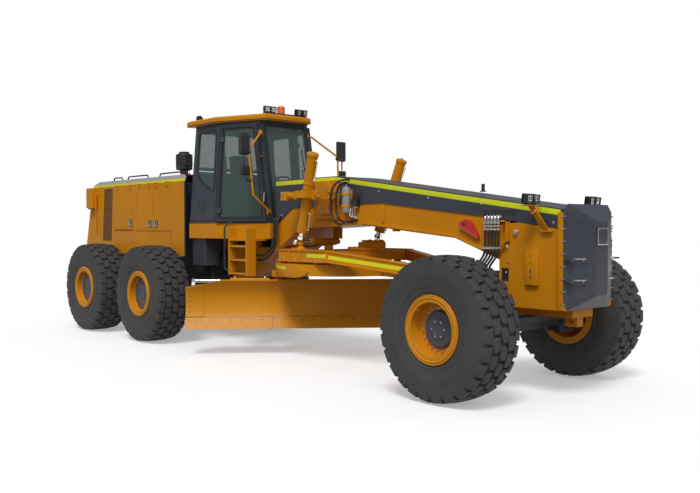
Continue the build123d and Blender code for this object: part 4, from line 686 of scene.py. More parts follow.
def holed(bits, wall, outer, hole, low, high, mat):
    """Sheet with a hole, both given as (u, v) outlines."""
    centre = sum((Vector(p) for p in hole), Vector((0, 0))) / len(hole)
    edge = []
    for p in hole:
        ray = Vector(p) - centre
        best = None
        for i in range(len(outer)):
            a, b = Vector(outer[i - 1]), Vector(outer[i])
            e = b - a
            det = ray.x * -e.y + e.x * ray.y
            if abs(det) < 1e-12:
                continue
            w = a - centre
            t = (w.x * -e.y + e.x * w.y) / det
            s = (ray.x * w.y - ray.y * w.x) / det
            if t > 0 and -1e-6 <= s <= 1 + 1e-6 and (best is None or t < best):
                best = t
        edge.append(centre + ray * (best or 1))
    for corner in outer:
        near = min(range(len(edge)), key=lambda i: (edge[i] - Vector(corner)).length)
        edge[near] = Vector(corner)
    bits.rim(wall.place, [tuple(p) for p in edge], hole, low, high, mat)


WALLS = {"door_left": Wall(1, 2, 0.04755), "door_right": Wall(4, 3, 0.04755),
         "side_left": Wall(0, 1, 0.04006), "side_right": Wall(5, 4, 0.04006), "front": Wall(2, 3, 0.04719),
         "rear": Wall(5, 0, 0.03533)}

bits = Bits()
for side, s in SIDES:
    wall = WALLS[f"side_{side}"]
    c = wall.corners(0.03, 0.97, 0.014)
    width = c[1][0] - c[0][0]
    lean = c[2][0] - c[1][0]
    top = c[2][1]
    window = [(c[0][0] + 0.30, 0.66), (c[1][0] - 0.075, 0.50), (c[2][0] - 0.075, top - 0.07),
              (c[3][0] + 0.10, top - 0.07), (c[3][0] + 0.09, 1.02), (c[0][0] + 0.13, 0.80)]
    hole = rounded(window, [0.10, 0.06, 0.06, 0.06, 0.3, 0.3])
    holed(bits, wall, c, hole, PANE + 0.0012, PANE + 0.006, DARK)
    bits.rim(wall.place, grown(hole, 0.012), grown(hole, -0.022), PANE + 0.0012, PANE + 0.012, GASKET, 0.002)
    # black strip down the middle pillar, and four screws
    strip = ((-0.012, 0.06), (0.018, 0.06), (lean + 0.018, top - 0.01), (lean - 0.012, top - 0.01))
    bits.plate(wall.place, [(c[1][0] + d, v) for d, v in strip], 0.0, 0.016, GASKET, 0.002)
    spots = [(c[0][0] + 0.05 + d, v) for v in (0.045, 0.57) for d in (0, width - 0.12)]
    bits.bolts([wall.place(u, v, PANE + 0.006) for u, v in spots], wall.n, 0.008, BLACK)
    # vent slots in the lower part of the panel: black plates, painted shade for the slots' dark insides
    for k in range(5):
        v = 0.20 + 0.035 * k
        bits.plate(wall.place, rect(0.22, v, 0.48, v + 0.013), PANE + 0.0055, 0.004, BLACK, 0.0015)
wall = WALLS["front"]
outline = wall.corners(0.032, 0.968, 0.016)
seal(bits, wall, outline, 0.055, PANE + 0.0005, PANE + 0.007, 0.09)
mid = (outline[0][0] + outline[1][0]) / 2
# wiper, its arm and its motor
foot = wall.place(mid - 0.10, 0.16, PANE + 0.012)
tip = wall.place(mid - 0.30, 0.78, PANE + 0.02)
bits.rod(foot, foot + wall.n * 0.03, 0.024, BLACK, 14)
bits.bent([foot + wall.n * 0.025, wall.place(mid - 0.16, 0.38, PANE + 0.04), tip + wall.n * 0.012], 0.006,
          BLACK, 0.05, 8)
bits.bent([wall.place(mid - 0.33, 0.40, PANE + 0.016), tip, wall.place(mid - 0.27, 1.20, PANE + 0.016)],
          0.0085, BLACK, 0.1, 6)
# rear window's seal, and ribs and bolts on the panel below it
wall = WALLS["rear"]
seal(bits, wall, wall.corners(0.556, 0.965, 0.02), 0.05, PANE + 0.0005, PANE + 0.010, 0.08)
lower = wall.corners(0.03, 0.535, 0.03)
for k in (0.33, 0.66):
    v = lower[0][1] + (lower[2][1] - lower[0][1]) * k
    bits.plate(wall.place, rect(0.08, v, 1.50, v + 0.02), 0.0055, 0.006, DARK, 0.002)
bits.bolts([wall.place(u, v, 0.0057) for u in (0.07, 0.8, 1.53) for v in (0.06, 0.80)], wall.n, 0.008, STEEL)
bits.piece("cab_trim", "front_frame")

for side, s in SIDES:
    wall = WALLS[f"door_{side}"]
    bits = Bits()
    # seals on the glass and on the door's frame
    seal(bits, wall, wall.corners(0.044, 0.936, 0.066), 0.030, 0.0235, 0.030, 0.075)
    seal(bits, wall, wall.corners(0.014, 0.966, 0.014), 0.012, 0.0402, 0.044, 0.03)
    line = rounded(wall.corners(0.044, 0.936, 0.065), 0.012)
    bits.rim(wall.place, grown(line, 0.010), grown(line, 0.002), 0.0402, 0.0435, GASKET)
    # recess with its handle, low on the front edge
    c = wall.corners(0.01, 0.97, 0.01)
    u = c[1][0] - 0.052
    for half, v0, v1, out, mat in ((0.022, 0.30, 0.50, 0.0405, BLACK), (0.012, 0.33, 0.47, 0.047, STEEL)):
        bits.plate(wall.place, rounded(rect(u - half, v0, u + half, v1), 0.01, 3), out, 0.006, mat, 0.001)
    # slate hinge blocks at the middle pillar
    for t in (0.12, 0.85):
        u = c[0][0] + (c[3][0] - c[0][0]) * t
        v = c[0][1] + (c[3][1] - c[0][1]) * t
        block = [(u + 0.016, v - 0.05), (u + 0.105, v - 0.04), (u + 0.105, v + 0.04), (u + 0.016, v + 0.05)]
        bits.plate(wall.place, rounded(block, 0.012, 3), 0.0405, 0.016, DARK, 0.003)
        bits.bolts([wall.place(u + 0.085, v + d, 0.057) for d in (-0.022, 0.022)], wall.n, 0.007, STEEL,
                   washer=False)
    # inner grab rail, seen through the glass
    ends = wall.place(c[1][0] - 0.10, 0.55, -0.01), wall.place(c[1][0] - 0.16, 1.05, -0.01)
    bits.bent([ends[i] + wall.n * out for i, out in ((0, 0.03), (0, -0.05), (1, -0.05), (1, 0.03))], 0.011,
              YELLOW, 0.04, 10)
    bits.piece(f"door_trim_{side}", f"cab_door_{side}")

# dark line round the roof's edge, raised fields and bolts on it
bits = Bits()
plan = [(-6.25, 0.8), (-5.41, 0.8), (-4.48, 0.45), (-4.48, -0.45), (-5.41, -0.8), (-6.25, -0.8)]
outer = grown(rounded(plan, 0.03, 3), 0.006)
bits.rim(at, outer, grown(outer, -0.012), 3.612, 3.622, BLACK)
for x0, x1, half in ((-6.12, -5.55, 0.62), (-5.45, -4.75, 0.40)):
    bits.box(at(x0, -half, 3.7005), at(x1, half, 3.716), YELLOW, 0.01)
for s in (-1, 1):
    corners = ((-6.19, 0.74), (-5.45, 0.74), (-4.55, 0.40))
    bits.bolts([at(x, s * y, 3.7008) for x, y in corners], UP, 0.010, STEEL)
bits.piece("roof_trim", "front_frame")

# ---- cab fittings: mirrors, lamps, beacon -------------------------------------------------------------
# section of a mirror's case: (depth, size)
MIRROR_CASE = ((0.030, 0.55), (0.026, 0.82), (0.012, 0.98), (-0.012, 1.0), (-0.017, 0.97), (-0.0165, 0.92))
bits = Bits()
for s in (-1, 1):
    low, high = (-4.265, s * 0.52, 2.15), (-4.539, s * 0.5027, 3.40)
    bits.bent([at(*p) for p in (low, (-4.25, s * 0.85, 2.40), (-4.32, s * 0.89, 3.08), high)], 0.0155, YELLOW,
              0.06, 14)
    for foot, t in ((low, 0.105), (high, 0.877)):
        px, py, pz = -4.36 - 0.29 * t, s * (0.46 - 0.0123 * t), foot[2]
        bits.rod(at(px + 0.02, py + s * 0.018, pz), at(*foot), 0.0095, YELLOW, 12)
        bits.box(at(px - 0.004, py + s * 0.02 - 0.03, pz - 0.04),
                 at(px + 0.035, py + s * 0.02 + 0.03, pz + 0.04), YELLOW, 0.005)
    # clamps, black arms and the two mirrors
    for y, z in ((0.888, 3.05), (0.864, 2.62)):
        x = (3.08 - z) * 0.06
        bits.box(at(x - 4.345, s * y - 0.028, z - 0.022), at(x - 4.290, s * y + 0.028, z + 0.022), BLACK,
                 0.006)
    bits.bent([at(-4.31, s * 0.89, 3.05), at(-4.31, s * 0.975, 3.05), at(-4.31, s * 0.975, 2.86)], 0.011,
              BLACK, 0.03)
    bits.bent([at(-4.29, s * 0.864, 2.62), at(-4.29, s * 0.96, 2.62), at(-4.29, s * 0.96, 2.70)], 0.010,
              BLACK, 0.03)
    for x, y, z, w, h in ((-4.32, 0.965, 3.17, 0.095, 0.165), (-4.305, 0.965, 2.775, 0.088, 0.078)):
        body = rounded(rect(-w, -h, w, h), 0.028, 5)
        for rings, mat in ((MIRROR_CASE, BLACK), (((-0.0166, 0.91), (-0.0185, 0.905)), CHROME)):
            bits.loft([[at(x + d, s * y + a * k, z + b * k) for a, b in body] for d, k in rings], mat)


def cube_lamp(bits, centre, aim, half, deep):
    """Lamp with a caged black case, cooling fins and a clear face towards aim."""
    aim = Vector(aim).normalized()
    side = aim.cross(Vector(UP)).normalized()
    up = side.cross(aim)

    def plate(k, d, r):
        outline = rounded(rect(-half * k, -half * k, half * k, half * k), r * half, 4)
        return [centre + side * a + up * b + aim * d for a, b in outline]

    case = ((0.72, -1, 0.3), (0.86, -0.6, 0.3), (0.97, -0.2, 0.25), (1.0, 0.2, 0.25), (1.0, 1, 0.2),
            (0.90, 1, 0.2), (0.87, 0.72, 0.2))
    bits.loft([plate(k, deep * d, r) for k, d, r in case], BLACK)
    bits.loft([plate(0.87, deep * 0.70, 0.2), plate(0.82, deep * 0.80, 0.2)], LENS)
    for k in range(4):
        d = -deep * (0.15 + 0.2 * k)
        bits.loft([plate(1.03, d, 0.25), plate(1.03, d - 0.004, 0.25)], BLACK)
    for a in (-0.42, 0.42):
        for b in (-0.42, 0.42):
            c = centre + side * a * half + up * b * half + aim * deep * 0.79
            bits.spin([(half * 0.30, 0), (half * 0.27, 0.003), (half * 0.12, 0.004)], c, aim, CHROME, 12)
    for a in (-0.5, 0, 0.5):
        bar = centre + side * a * half * 1.5 + aim * (deep + 0.006)
        bits.rod(bar + up * half, bar - up * half, 0.0028, BLACK, 6)
    foot = Vector((0.022, 0.022, 0))
    bits.box(centre - up * half * 1.25 - foot - Vector((0, 0, 0.012)), centre - up * half * 0.95 + foot,
             BLACK, 0.003)


ROOF_TOP = 3.7003
bits.box(at(-4.60, -0.42, ROOF_TOP), at(-4.54, 0.42, ROOF_TOP + 0.028), BLACK, 0.006)
for y in (-0.37, -0.25, 0.25, 0.37):
    cube_lamp(bits, at(-4.563, y, ROOF_TOP + 0.079), (1, math.copysign(0.18, y), -0.12), 0.046, 0.040)
# beacon
beacon = at(-4.685, 0, ROOF_TOP)
bits.spin([(0.001, 0), (0.075, 0), (0.075, 0.022), (0.068, 0.032), (0.064, 0.040), (0.001, 0.040)], beacon,
          UP, BLACK, 32)
dome = [(0.001, 0.040), (0.062, 0.040), (0.063, 0.055)]
for k in range(6):
    dome += [(0.0615, 0.060 + k * 0.014), (0.0635, 0.067 + k * 0.014)]
bits.spin(dome + [(0.060, 0.150), (0.048, 0.163), (0.025, 0.169), (0.001, 0.170)], beacon, UP, ORANGE, 32)
# round rear work lamps in brackets
for s in (-1, 1):
    c = at(-6.14, s * 0.62, ROOF_TOP + 0.062)
    case = [(0.001, -0.035), (0.030, -0.034), (0.043, -0.020), (0.048, 0.0), (0.050, 0.03), (0.050, 0.036),
            (0.044, 0.036), (0.043, 0.030), (0.001, 0.029)]
    bits.spin(case, c, (-1, 0, -0.15), BLACK, 28)
    bits.spin([(0.001, 0.0285), (0.043, 0.0285), (0.040, 0.033), (0.001, 0.034)], c, (-1, 0, -0.15), LENS, 24)
    bits.box(at(-6.165, s * 0.62 - 0.058, ROOF_TOP), at(-6.115, s * 0.62 + 0.058, ROOF_TOP + 0.010), BLACK,
             0.003)
    for y in (s * 0.62 - 0.055, s * 0.62 + 0.055):
        bits.box(at(-6.155, y - 0.004, ROOF_TOP + 0.008), at(-6.125, y + 0.004, ROOF_TOP + 0.075), BLACK,
                 0.002)
bits.piece("cab_fittings_detail", "front_frame", ("cab_fittings",))

# ---- cab interior -------------------------------------------------------------------------------------
bits = Bits()
x = HINGE + 0.33
SEAT_POST = ((0.001, 0), (0.13, 0), (0.13, 0.012), (0.075, 0.03), (0.07, 0.07), (0.075, 0.075), (0.08, 0.20),
             (0.074, 0.205), (0.08, 0.21), (0.074, 0.215), (0.08, 0.22), (0.074, 0.225), (0.09, 0.30),
             (0.10, 0.35), (0.001, 0.35))
bits.spin(SEAT_POST, at(x, 0, CAB_FOOT), UP, BLACK, 36)
bits.box(at(x - 0.2, -0.21, 2.33), at(x + 0.2, 0.21, 2.37), BLACK, 0.01)
# armrest pods with their lever rows
POD = ((0.39, 1.98), (0.76, 1.98), (0.74, 2.50), (0.70, 2.62), (0.40, 2.60), (0.385, 2.30))
LEVER_KNOB = ((0.001, 0), (0.008, 0.002), (0.010, 0.012), (0.007, 0.022), (0.001, 0.024))
for s in (-1, 1):
    bits.plate(flank(s), [(HINGE + dx, z) for dx, z in POD], 0.31, 0.14, BLACK, 0.018)
    for k in range(4):
        lx = HINGE + 0.48 + 0.055 * k
        bits.rod(at(lx, s * 0.38, 2.60), at(lx + 0.01, s * 0.38, 2.645), 0.004, STEEL, 8)
        bits.spin(LEVER_KNOB, at(lx + 0.01, s * 0.38, 2.64), (0.2, 0, 1), BLACK, 12)
# console, display and steering wheel
x = HINGE + 1.18
CONSOLE = ((0, 1.98), (0.12, 1.98), (0.09, 2.30), (0.04, 2.555), (-0.058, 2.555), (-0.045, 2.30))
bits.plate(flank(1), [(x + dx, z) for dx, z in CONSOLE], -0.088, 0.176, BLACK, 0.016)
bits.box(at(x - 0.035, -0.075, 2.545), at(x + 0.02, 0.075, 2.559), INNER, 0.006)
centre = at(HINGE + 1.13, 0, 2.66)
tilt = Matrix.Rotation(math.radians(-20), 3, "Y")
axis = tilt @ Vector(UP)
turns = [2 * math.pi * k / 10 for k in range(10)]
wheel = [(0.190 + 0.0145 * math.cos(t), 0.0145 * math.sin(t)) for t in turns]
bits.spin(wheel, centre, axis, BLACK, 48, closed=True)
for spoke in around(Vector((0, 0, 0)), 1, 3, shift=0.75):
    d = tilt @ spoke
    bits.rod(centre + d * 0.04, centre + d * 0.182, 0.0085, INNER, 10)
bits.spin([(0.001, -0.02), (0.05, -0.015), (0.052, 0.0), (0.045, 0.012), (0.02, 0.016), (0.001, 0.016)],
          centre, axis, BLACK, 24)
bits.rod(at(HINGE + 1.13, 0, 2.557), centre, 0.027, BLACK, 18, 0.004)
bits.piece("cab_interior_detail", "front_frame", ("cab_interior",))

# floor mat, pedals and grab rails inside the cab
bits = Bits()
bits.box(at(-5.90, -0.60, 1.9805), at(-4.75, 0.60, 1.9865), HOSE, 0.002)
for k in range(16):
    bits.box(at(-5.35 + 0.035 * k, -0.28, 1.9865), at(-5.338 + 0.035 * k, 0.28, 1.990), HOSE, 0.001)
turn = Matrix.Rotation(math.radians(-35), 3, "Y")
for y in (-0.19, 0.17):
    bits.box(at(-4.72, y - 0.04, 2.035), at(-4.60, y + 0.04, 2.047), BLACK, 0.004, turn)
    bits.rod(at(-4.62, y, 2.05), at(-4.58, y, 1.985), 0.01, STEEL, 10)
for s in (-1, 1):
    low, high = at(-4.47, s * 0.40, 2.45), at(-4.535, s * 0.40, 2.85)
    bits.bent([low, at(-4.54, s * 0.37, 2.45), at(-4.60, s * 0.37, 2.85), high], 0.011, YELLOW, 0.04)
    bits.rod(low, at(-4.45, s * 0.42, 2.45), 0.016, YELLOW, 12)
    bits.rod(high, at(-4.515, s * 0.425, 2.85), 0.016, YELLOW, 12)
bits.piece("cab_floor_details", "front_frame")

# ---- front end ----------------------------------------------------------------------------------------
LIFT_X, LIFT_Y, LIFT_Z = -3.0, 0.81, 2.37          # middle of the lift cylinders' trunnions
HOSE_Y = -0.477              # the hose bundle's plane beside the girder
FIVE_HOSES = [-0.11 + 0.048 * k for k in range(5)]
bits = Bits()
for x in FIVE_HOSES:
    bits.bent([at(x, -0.418, 2.04), at(x, HOSE_Y, 2.04), at(x, HOSE_Y, 1.955)], 0.0155, CHROME, 0.03, 12)
    bits.nut(at(x, -0.434, 2.04), (0, -1, 0), 0.022, 0.016, CHROME)
    for z in (1.955, 1.918, 1.880):
        bits.nut(at(x, HOSE_Y, z), UP, 0.0205, 0.026, CHROME)
# the shelf that carries them, and their clamp with its two feet
bits.box(at(-0.165, -0.463, 1.985), at(0.135, -COVER_Y, 2.0), YELLOW, 0.003)
bits.box(at(-0.15, -0.494, 1.663), at(0.12, -0.4605, 1.693), STEEL, 0.006)
for x in (-0.155, 0.115):
    bits.box(at(x - 0.008, -0.47, 1.66), at(x + 0.008, -WEB_Y, 1.69), YELLOW, 0.002)
    bits.bolts([at(x * 0.9 - 0.002, -0.494, 1.678)], (0, -1, 0), 0.009, STEEL)
# bracket beside them, and plugs on the web
bits.box(at(0.205, -0.505, 1.74), at(0.219, -0.4327, 1.99), YELLOW, 0.003)
for z in (1.74, 1.976):
    bits.box(at(0.14, -0.505, z), at(0.219, -0.4327, z + 0.014), YELLOW, 0.003)
for x, z in ((0.18, 1.70), (-0.14, 1.60), (0.20, 1.52), (0.16, 1.40)):
    bits.bolts([at(x, -0.433 if x > 0 else -0.4207, z)], (0, -1, 0), 0.013, CHROME)
bits.piece("front_hose_fittings", "front_frame")


def hose_lines():
    """Smooth hoses in place of the CAD's tubes of runs and arcs."""
    curve = bpy.data.curves.new("hose_lines", "CURVE")
    curve.dimensions, curve.bevel_depth, curve.bevel_resolution = "3D", 0.01, 3
    curve.resolution_u, curve.use_fill_caps = 10, True
    curve.materials.append(HOSE)

    def hose(points, r):
        spline = curve.splines.new("NURBS")
        spline.points.add(len(points) - 1)
        for point, place in zip(spline.points, points):
            point.co, point.radius = (*at(*place), 1), r / curve.bevel_depth
        spline.order_u, spline.use_endpoint_u = 3, True

    cover, girder, web = -0.4324, -0.3004, -0.4204
    for k, x in enumerate(FIVE_HOSES):
        y = -0.20 - 0.05 * k
        hose([(x, HOSE_Y, 1.90), (x, HOSE_Y, 1.74), (x, HOSE_Y, 1.60), (x - 0.15, HOSE_Y, 1.44),
              (x - 0.15, y, 1.385), (x - 0.03, y, 1.39), (0.0646, y, 1.39)], 0.013)
    x, near, far = LIFT_X, cover - 0.107, cover - 0.168
    hose([(x + 0.40, cover, 2.54), (x + 0.40, near, 2.54), (x + 0.295, near, 2.40), (x + 0.295, near, 2.08),
          (x + 0.44, near, 1.99), (x + 0.52, near, 1.99), (x + 0.52, web, 1.99)], 0.015)
    hose([(x + 0.46, cover, 2.58), (x + 0.46, far, 2.58), (x + 0.255, far, 2.45), (x + 0.255, far, 2.06),
          (x + 0.44, far, 1.93), (x + 0.60, far, 2.01), (x + 0.60, web, 2.01)], 0.015)
    for k in range(2):
        x, y, z = -4.13 - 0.07 * k, cover - 0.068, 1.395 + 0.075 * k
        hose([(x, cover, 2.07), (x, y, 2.07), (x, y, 1.64), (x - 0.26, y, z), (-4.75, y, z),
              (-4.75, girder, z)], 0.020)
    ride(linked("hose_lines", curve), "front_frame", ("hoses",))


hose_lines()

bits = Bits()
for s in (-1, 1):
    # slanted arm on its bolted foot, round reflector, plate with two lamps
    arm = [at(0.68, s * 0.450, 1.875), at(0.765, s * 0.450, 1.875), at(0.655, s * 0.575, 2.15),
           at(0.575, s * 0.575, 2.15)]
    bits.prism(arm, (0, s * 0.012, -0.005), YELLOW, 0.003)
    bits.box(at(0.655, s * COVER_Y, 1.865), at(0.80, s * 0.475, 1.878), YELLOW, 0.003)
    bits.bolts([at(x, s * 0.466, 1.878) for x in (0.668, 0.787)], UP, 0.009, STEEL)
    bits.box(at(0.565, s * 0.50, 2.150), at(0.675, s * 0.725, 2.159), YELLOW, 0.003)
    spot, aim = at(0.628, s * 0.566, 2.09), Vector((0.12, s, 0.42))
    bits.spin([(0.001, 0), (0.034, 0), (0.036, 0.004), (0.036, 0.012), (0.030, 0.016), (0.001, 0.018)], spot,
              aim, ORANGE, 28)
    bits.bolts([spot + aim.normalized() * 0.016], aim, 0.005, BLACK, washer=False)
    for y in (0.553, 0.668):
        cube_lamp(bits, at(0.625, s * y, 2.228), (1, 0.04 * s, -0.14), 0.050, 0.048)
# extinguisher on the left of the post
c = at(0.86, 0.517, 1.40)
SHELL = ((0.001, 0), (0.060, 0), (0.071, 0.012), (0.0715, 0.37), (0.065, 0.405), (0.045, 0.435),
         (0.022, 0.448), (0.020, 0.465), (0.001, 0.465))
CUP = ((0.001, -0.05), (0.070, -0.05), (0.074, -0.045), (0.074, -0.004), (0.062, -0.001), (0.001, -0.001))
bits.spin(SHELL, c, UP, RED, 40)
for z, tall in ((0.115, 0.05), (0.285, 0.035)):
    bits.collar(c, UP, 0.0716, 0.0745, z, tall, BLACK, 40, 0.003)
    bits.box(c + Vector((-0.05, -0.084, z)), c + Vector((0.05, -0.045, z + tall)), BLACK, 0.004)
bits.spin(CUP, c, UP, BLACK, 36)
bits.rod(c + Vector((0, 0, 0.46)), c + Vector((0, 0, 0.505)), 0.016, STEEL, 16)
for z, dx, dz in ((0.50, 0.085, 0.018), (0.485, 0.075, -0.012)):
    bits.bent([c + Vector((-0.02, 0, z)), c + Vector((0.04, 0.01, z + dz)),
               c + Vector((dx, 0.015, z + dz * 1.6))], 0.006, BLACK, 0.02, 8)
bits.spin([(0.001, 0), (0.018, 0), (0.018, 0.012), (0.001, 0.013)], c + Vector((0, 0.016, 0.485)), (0, 1, 0),
          LENS, 20)
nozzle = c + Vector((-0.02, 0.093, 0.22))
bits.bent([c + Vector((0, 0.01, 0.48)), c + Vector((-0.01, 0.093, 0.47)), nozzle], 0.009, BLACK, 0.04, 10)
bits.rod(nozzle, c + Vector((-0.022, 0.093, 0.12)), 0.011, BLACK, 12, r2=0.017)
# accumulator in two straps, valve block and its fittings
c = at(-2.53, -0.50, 2.10)
TANK = ((0.001, 0), (0.03, 0.004), (0.052, 0.018), (0.062, 0.045), (0.062, 0.335), (0.052, 0.362),
        (0.03, 0.376), (0.001, 0.38))
bits.spin(TANK, c, UP, PALE, 36)
bits.rod(c + Vector((0, 0, 0.376)), c + Vector((0, 0, 0.405)), 0.014, STEEL, 12)
for z in (0.09, 0.255):
    bits.collar(c, UP, 0.0621, 0.0655, z, 0.034, YELLOW)
    bits.box(c + Vector((-0.012, -0.085, z)), c + Vector((0.012, -0.062, z + 0.034)), YELLOW, 0.003)
    bits.bolts([c + Vector((0, -0.085, z + 0.017))], (0, -1, 0), 0.007, STEEL, washer=False)
bits.box(at(-2.585, -0.455, 2.14), at(-2.475, -0.4328, 2.44), YELLOW, 0.004)
bits.box(at(-2.43, -0.505, 2.20), at(-2.32, -0.4328, 2.31), BLACK, 0.008)
for k in range(3):
    xa, xb, z = -2.41 + 0.035 * k, -2.47 + 0.05 * k, 2.07 - 0.01 * k
    bits.rod(at(xa, -0.47, 2.31), at(xa, -0.47, 2.375), 0.013, BLACK, 16, 0.003)
    bits.nut(at(xa, -0.47, 2.18), UP, 0.014, 0.02, CHROME)
    bits.nut(at(xb, -0.4335, z), (0, -1, 0), 0.018, 0.03, CHROME)
    bits.bent([at(xb, -0.462, z), at(xb, -0.49, z), at(-2.455 + 0.04 * k, -0.485, 2.18)], 0.008, CHROME, 0.02,
              10)
bits.piece("front_fittings_detail", "front_frame", ("front_fittings",))

# (x, y) of the nose's slanted side face, at its rear and its front
NOSE_A, NOSE_B = Vector((0.9555, 0.48)), Vector((1.13, 0.12))


def on_nose(s, share, z, out):
    """Point off the nose's slanted side face, by its share of the way to the front."""
    p = NOSE_A.lerp(NOSE_B, share)
    n = Vector((NOSE_A.y - NOSE_B.y, NOSE_B.x - NOSE_A.x)).normalized()
    return at(p.x + n.x * out, s * (p.y + n.y * out), z)


# nose: grab loops on its sides, framed blank plate on its front
bits = Bits()
for s in (-1, 1):
    for z in (1.345, 1.575):
        loop = ((0.26, 0), (0.26, 0.042), (0.64, 0.042), (0.64, 0))
        bits.bent([on_nose(s, share, z, out) for share, out in loop], 0.0075, STEEL, 0.02, 10)
        outward = on_nose(s, 0.4, z, 1) - on_nose(s, 0.4, z, 0)
        bits.bolts([on_nose(s, share, z - 0.02, 0.001) for share in (0.28, 0.62)], outward, 0.006, STEEL)
NOSE_X = 1.1405


def on_front(y, z, out):
    return at(NOSE_X + out, y, z)


for outline, deep, mat in ((rect(-0.105, 1.72, 0.105, 1.91), 0.003, STEEL),
                           (rect(-0.092, 1.733, 0.092, 1.897), 0.0045, DARK)):
    bits.plate(on_front, rounded(outline, 0.012, 3), 0, deep, mat, 0.0015)
bits.bolts([on_front(y, z, 0.0045) for y in (-0.075, 0.075) for z in (1.75, 1.88)], AHEAD, 0.005, STEEL,
           washer=False)
bits.piece("nose_trim", "front_frame")

# ---- middle: brackets, lift cylinders, drawbar, circle ------------------------------------------------
bits = Bits()
for s in (-1, 1):
    # rounded plate with its boss, clevis with four bolts, caps over the ring's pins
    arch = [(-3.12, 2.10), (-2.88, 2.10), (-2.88, 2.46)]
    turns = [math.pi * k / 10 for k in range(1, 11)]
    arch += [(LIFT_X + 0.12 * math.cos(a), 2.46 + 0.12 * math.sin(a)) for a in turns]
    bits.plate(flank(s), arch, 0.4645, 0.022, YELLOW, 0.004)
    bits.rod(at(LIFT_X, s * 0.4865, 2.46), at(LIFT_X, s * 0.505, 2.46), 0.058, YELLOW, 28, 0.006)
    bits.bolts([at(LIFT_X, s * 0.505, 2.46)], (0, s, 0), 0.024, STEEL)
    bits.bolts([at(x, s * 0.4865, 2.15) for x in (-3.07, -2.93)], (0, s, 0), 0.012, STEEL)
    bits.box(at(-3.66, s * 0.655, 2.305), at(-3.53, s * 0.785, 2.435), YELLOW, 0.008)
    bits.rod(at(-3.595, s * 0.43, LIFT_Z), at(-3.595, s * 0.66, LIFT_Z), 0.036, YELLOW, 20)
    bits.bolts([at(-3.595 + a, s * 0.785, LIFT_Z + b) for a in (-0.04, 0.04) for b in (-0.04, 0.04)],
               (0, s, 0), 0.011, STEEL)
    pin = at(-2.7725, s * LIFT_Y, LIFT_Z)
    bits.rod(pin - Vector((0.012, 0, 0)), pin, 0.050, YELLOW, 24, 0.003)
    bits.bolts(around(pin, 0.032, 4, "yz"), AHEAD, 0.007, STEEL, washer=False)
    bits.bolts([at(-2.79, s * y, z) for y in (0.50, 0.60) for z in (2.33, 2.41)], AHEAD, 0.012, STEEL)
# pin post that hangs from the girder over the gearbox
bits.rod(at(-2.05, 0, 1.86), at(-2.05, 0, 1.95), 0.055, YELLOW, 24, 0.005)
bits.piece("bracket_details", "front_frame")

# along the left lift cylinder; the right one mirrors its y
LIFT_RUN = Vector((0.235, 0.068, 0.68))


def along_lift(s, z, out=0.0):
    """Point on the lift cylinder's line at height z, moved out along its radius (forward)."""
    t = (z - LIFT_Z) / LIFT_RUN.z
    return at(LIFT_X + LIFT_RUN.x * t + out, s * (LIFT_Y + LIFT_RUN.y * t), z - out * LIFT_RUN.x / LIFT_RUN.z)


for side, s in SIDES:
    bits = Bits()
    run = along_lift(s, 2.9) - along_lift(s, 2.0)
    bits.collar(along_lift(s, 2.895), run, 0.0755, 0.084, 0, 0.038, YELLOW, edge=0.004)
    bits.collar(along_lift(s, 2.52), run, 0.0755, 0.083, 0, 0.026, YELLOW, edge=0.004)
    bits.bolts([along_lift(s, 2.94)], run, 0.022, STEEL)
    # ports with their short pipes
    for z, end, last, mat in ((2.86, 2.60, 2.57, CHROME), (1.905, 2.13, 2.16, STEEL)):
        bits.nut(along_lift(s, z, 0.074), (1, 0, -0.34), 0.017, 0.024, CHROME)
        bits.bent([along_lift(s, h, out) for h, out in ((z, 0.092), (z, 0.118), (end, 0.105), (last, 0.07))],
                  0.0075, mat, 0.02, 10)
        bits.nut(along_lift(s, end, 0.095), run, 0.013, 0.022, CHROME)
    side_v = run.orthogonal().normalized()
    up_v = run.normalized().cross(side_v)
    for t in (2 * math.pi * k / 6 for k in range(6)):
        head = along_lift(s, 1.941) + (side_v * math.cos(t) + up_v * math.sin(t)) * 0.0795
        bits.bolts([head], run, 0.006, STEEL, washer=False)
    bits.piece(f"lift_barrel_fittings_{side}", f"lift_barrel_{side}")

# drawbar: flanges, stripes, ball seats, gearbox
LEG_A, LEG_B = Vector((-0.38, 0.09, 1.25)), Vector((-2.58, 0.78, 1.515))
LEG_RUN = (LEG_B - LEG_A).normalized()
LEG_OUT = Vector((-LEG_RUN.y, LEG_RUN.x, 0)).normalized() * -1
LEG_UP = LEG_OUT.cross(LEG_RUN).normalized()
LEG_UP = LEG_UP if LEG_UP.z > 0 else -LEG_UP


def leg_strip(bits, s, t0, t1, section, mat, bevel):
    """Strip along a leg between two shares of its length; section is (out, up, out, up)."""
    rings = []
    for t in (t0, t1):
        ring = [LEG_A.lerp(LEG_B, t) + LEG_OUT * out + LEG_UP * up for out, up in rect(*section)]
        rings.append([at(q.x, s * q.y, q.z) for q in ring])
    bits.loft(rings, mat, bevel)


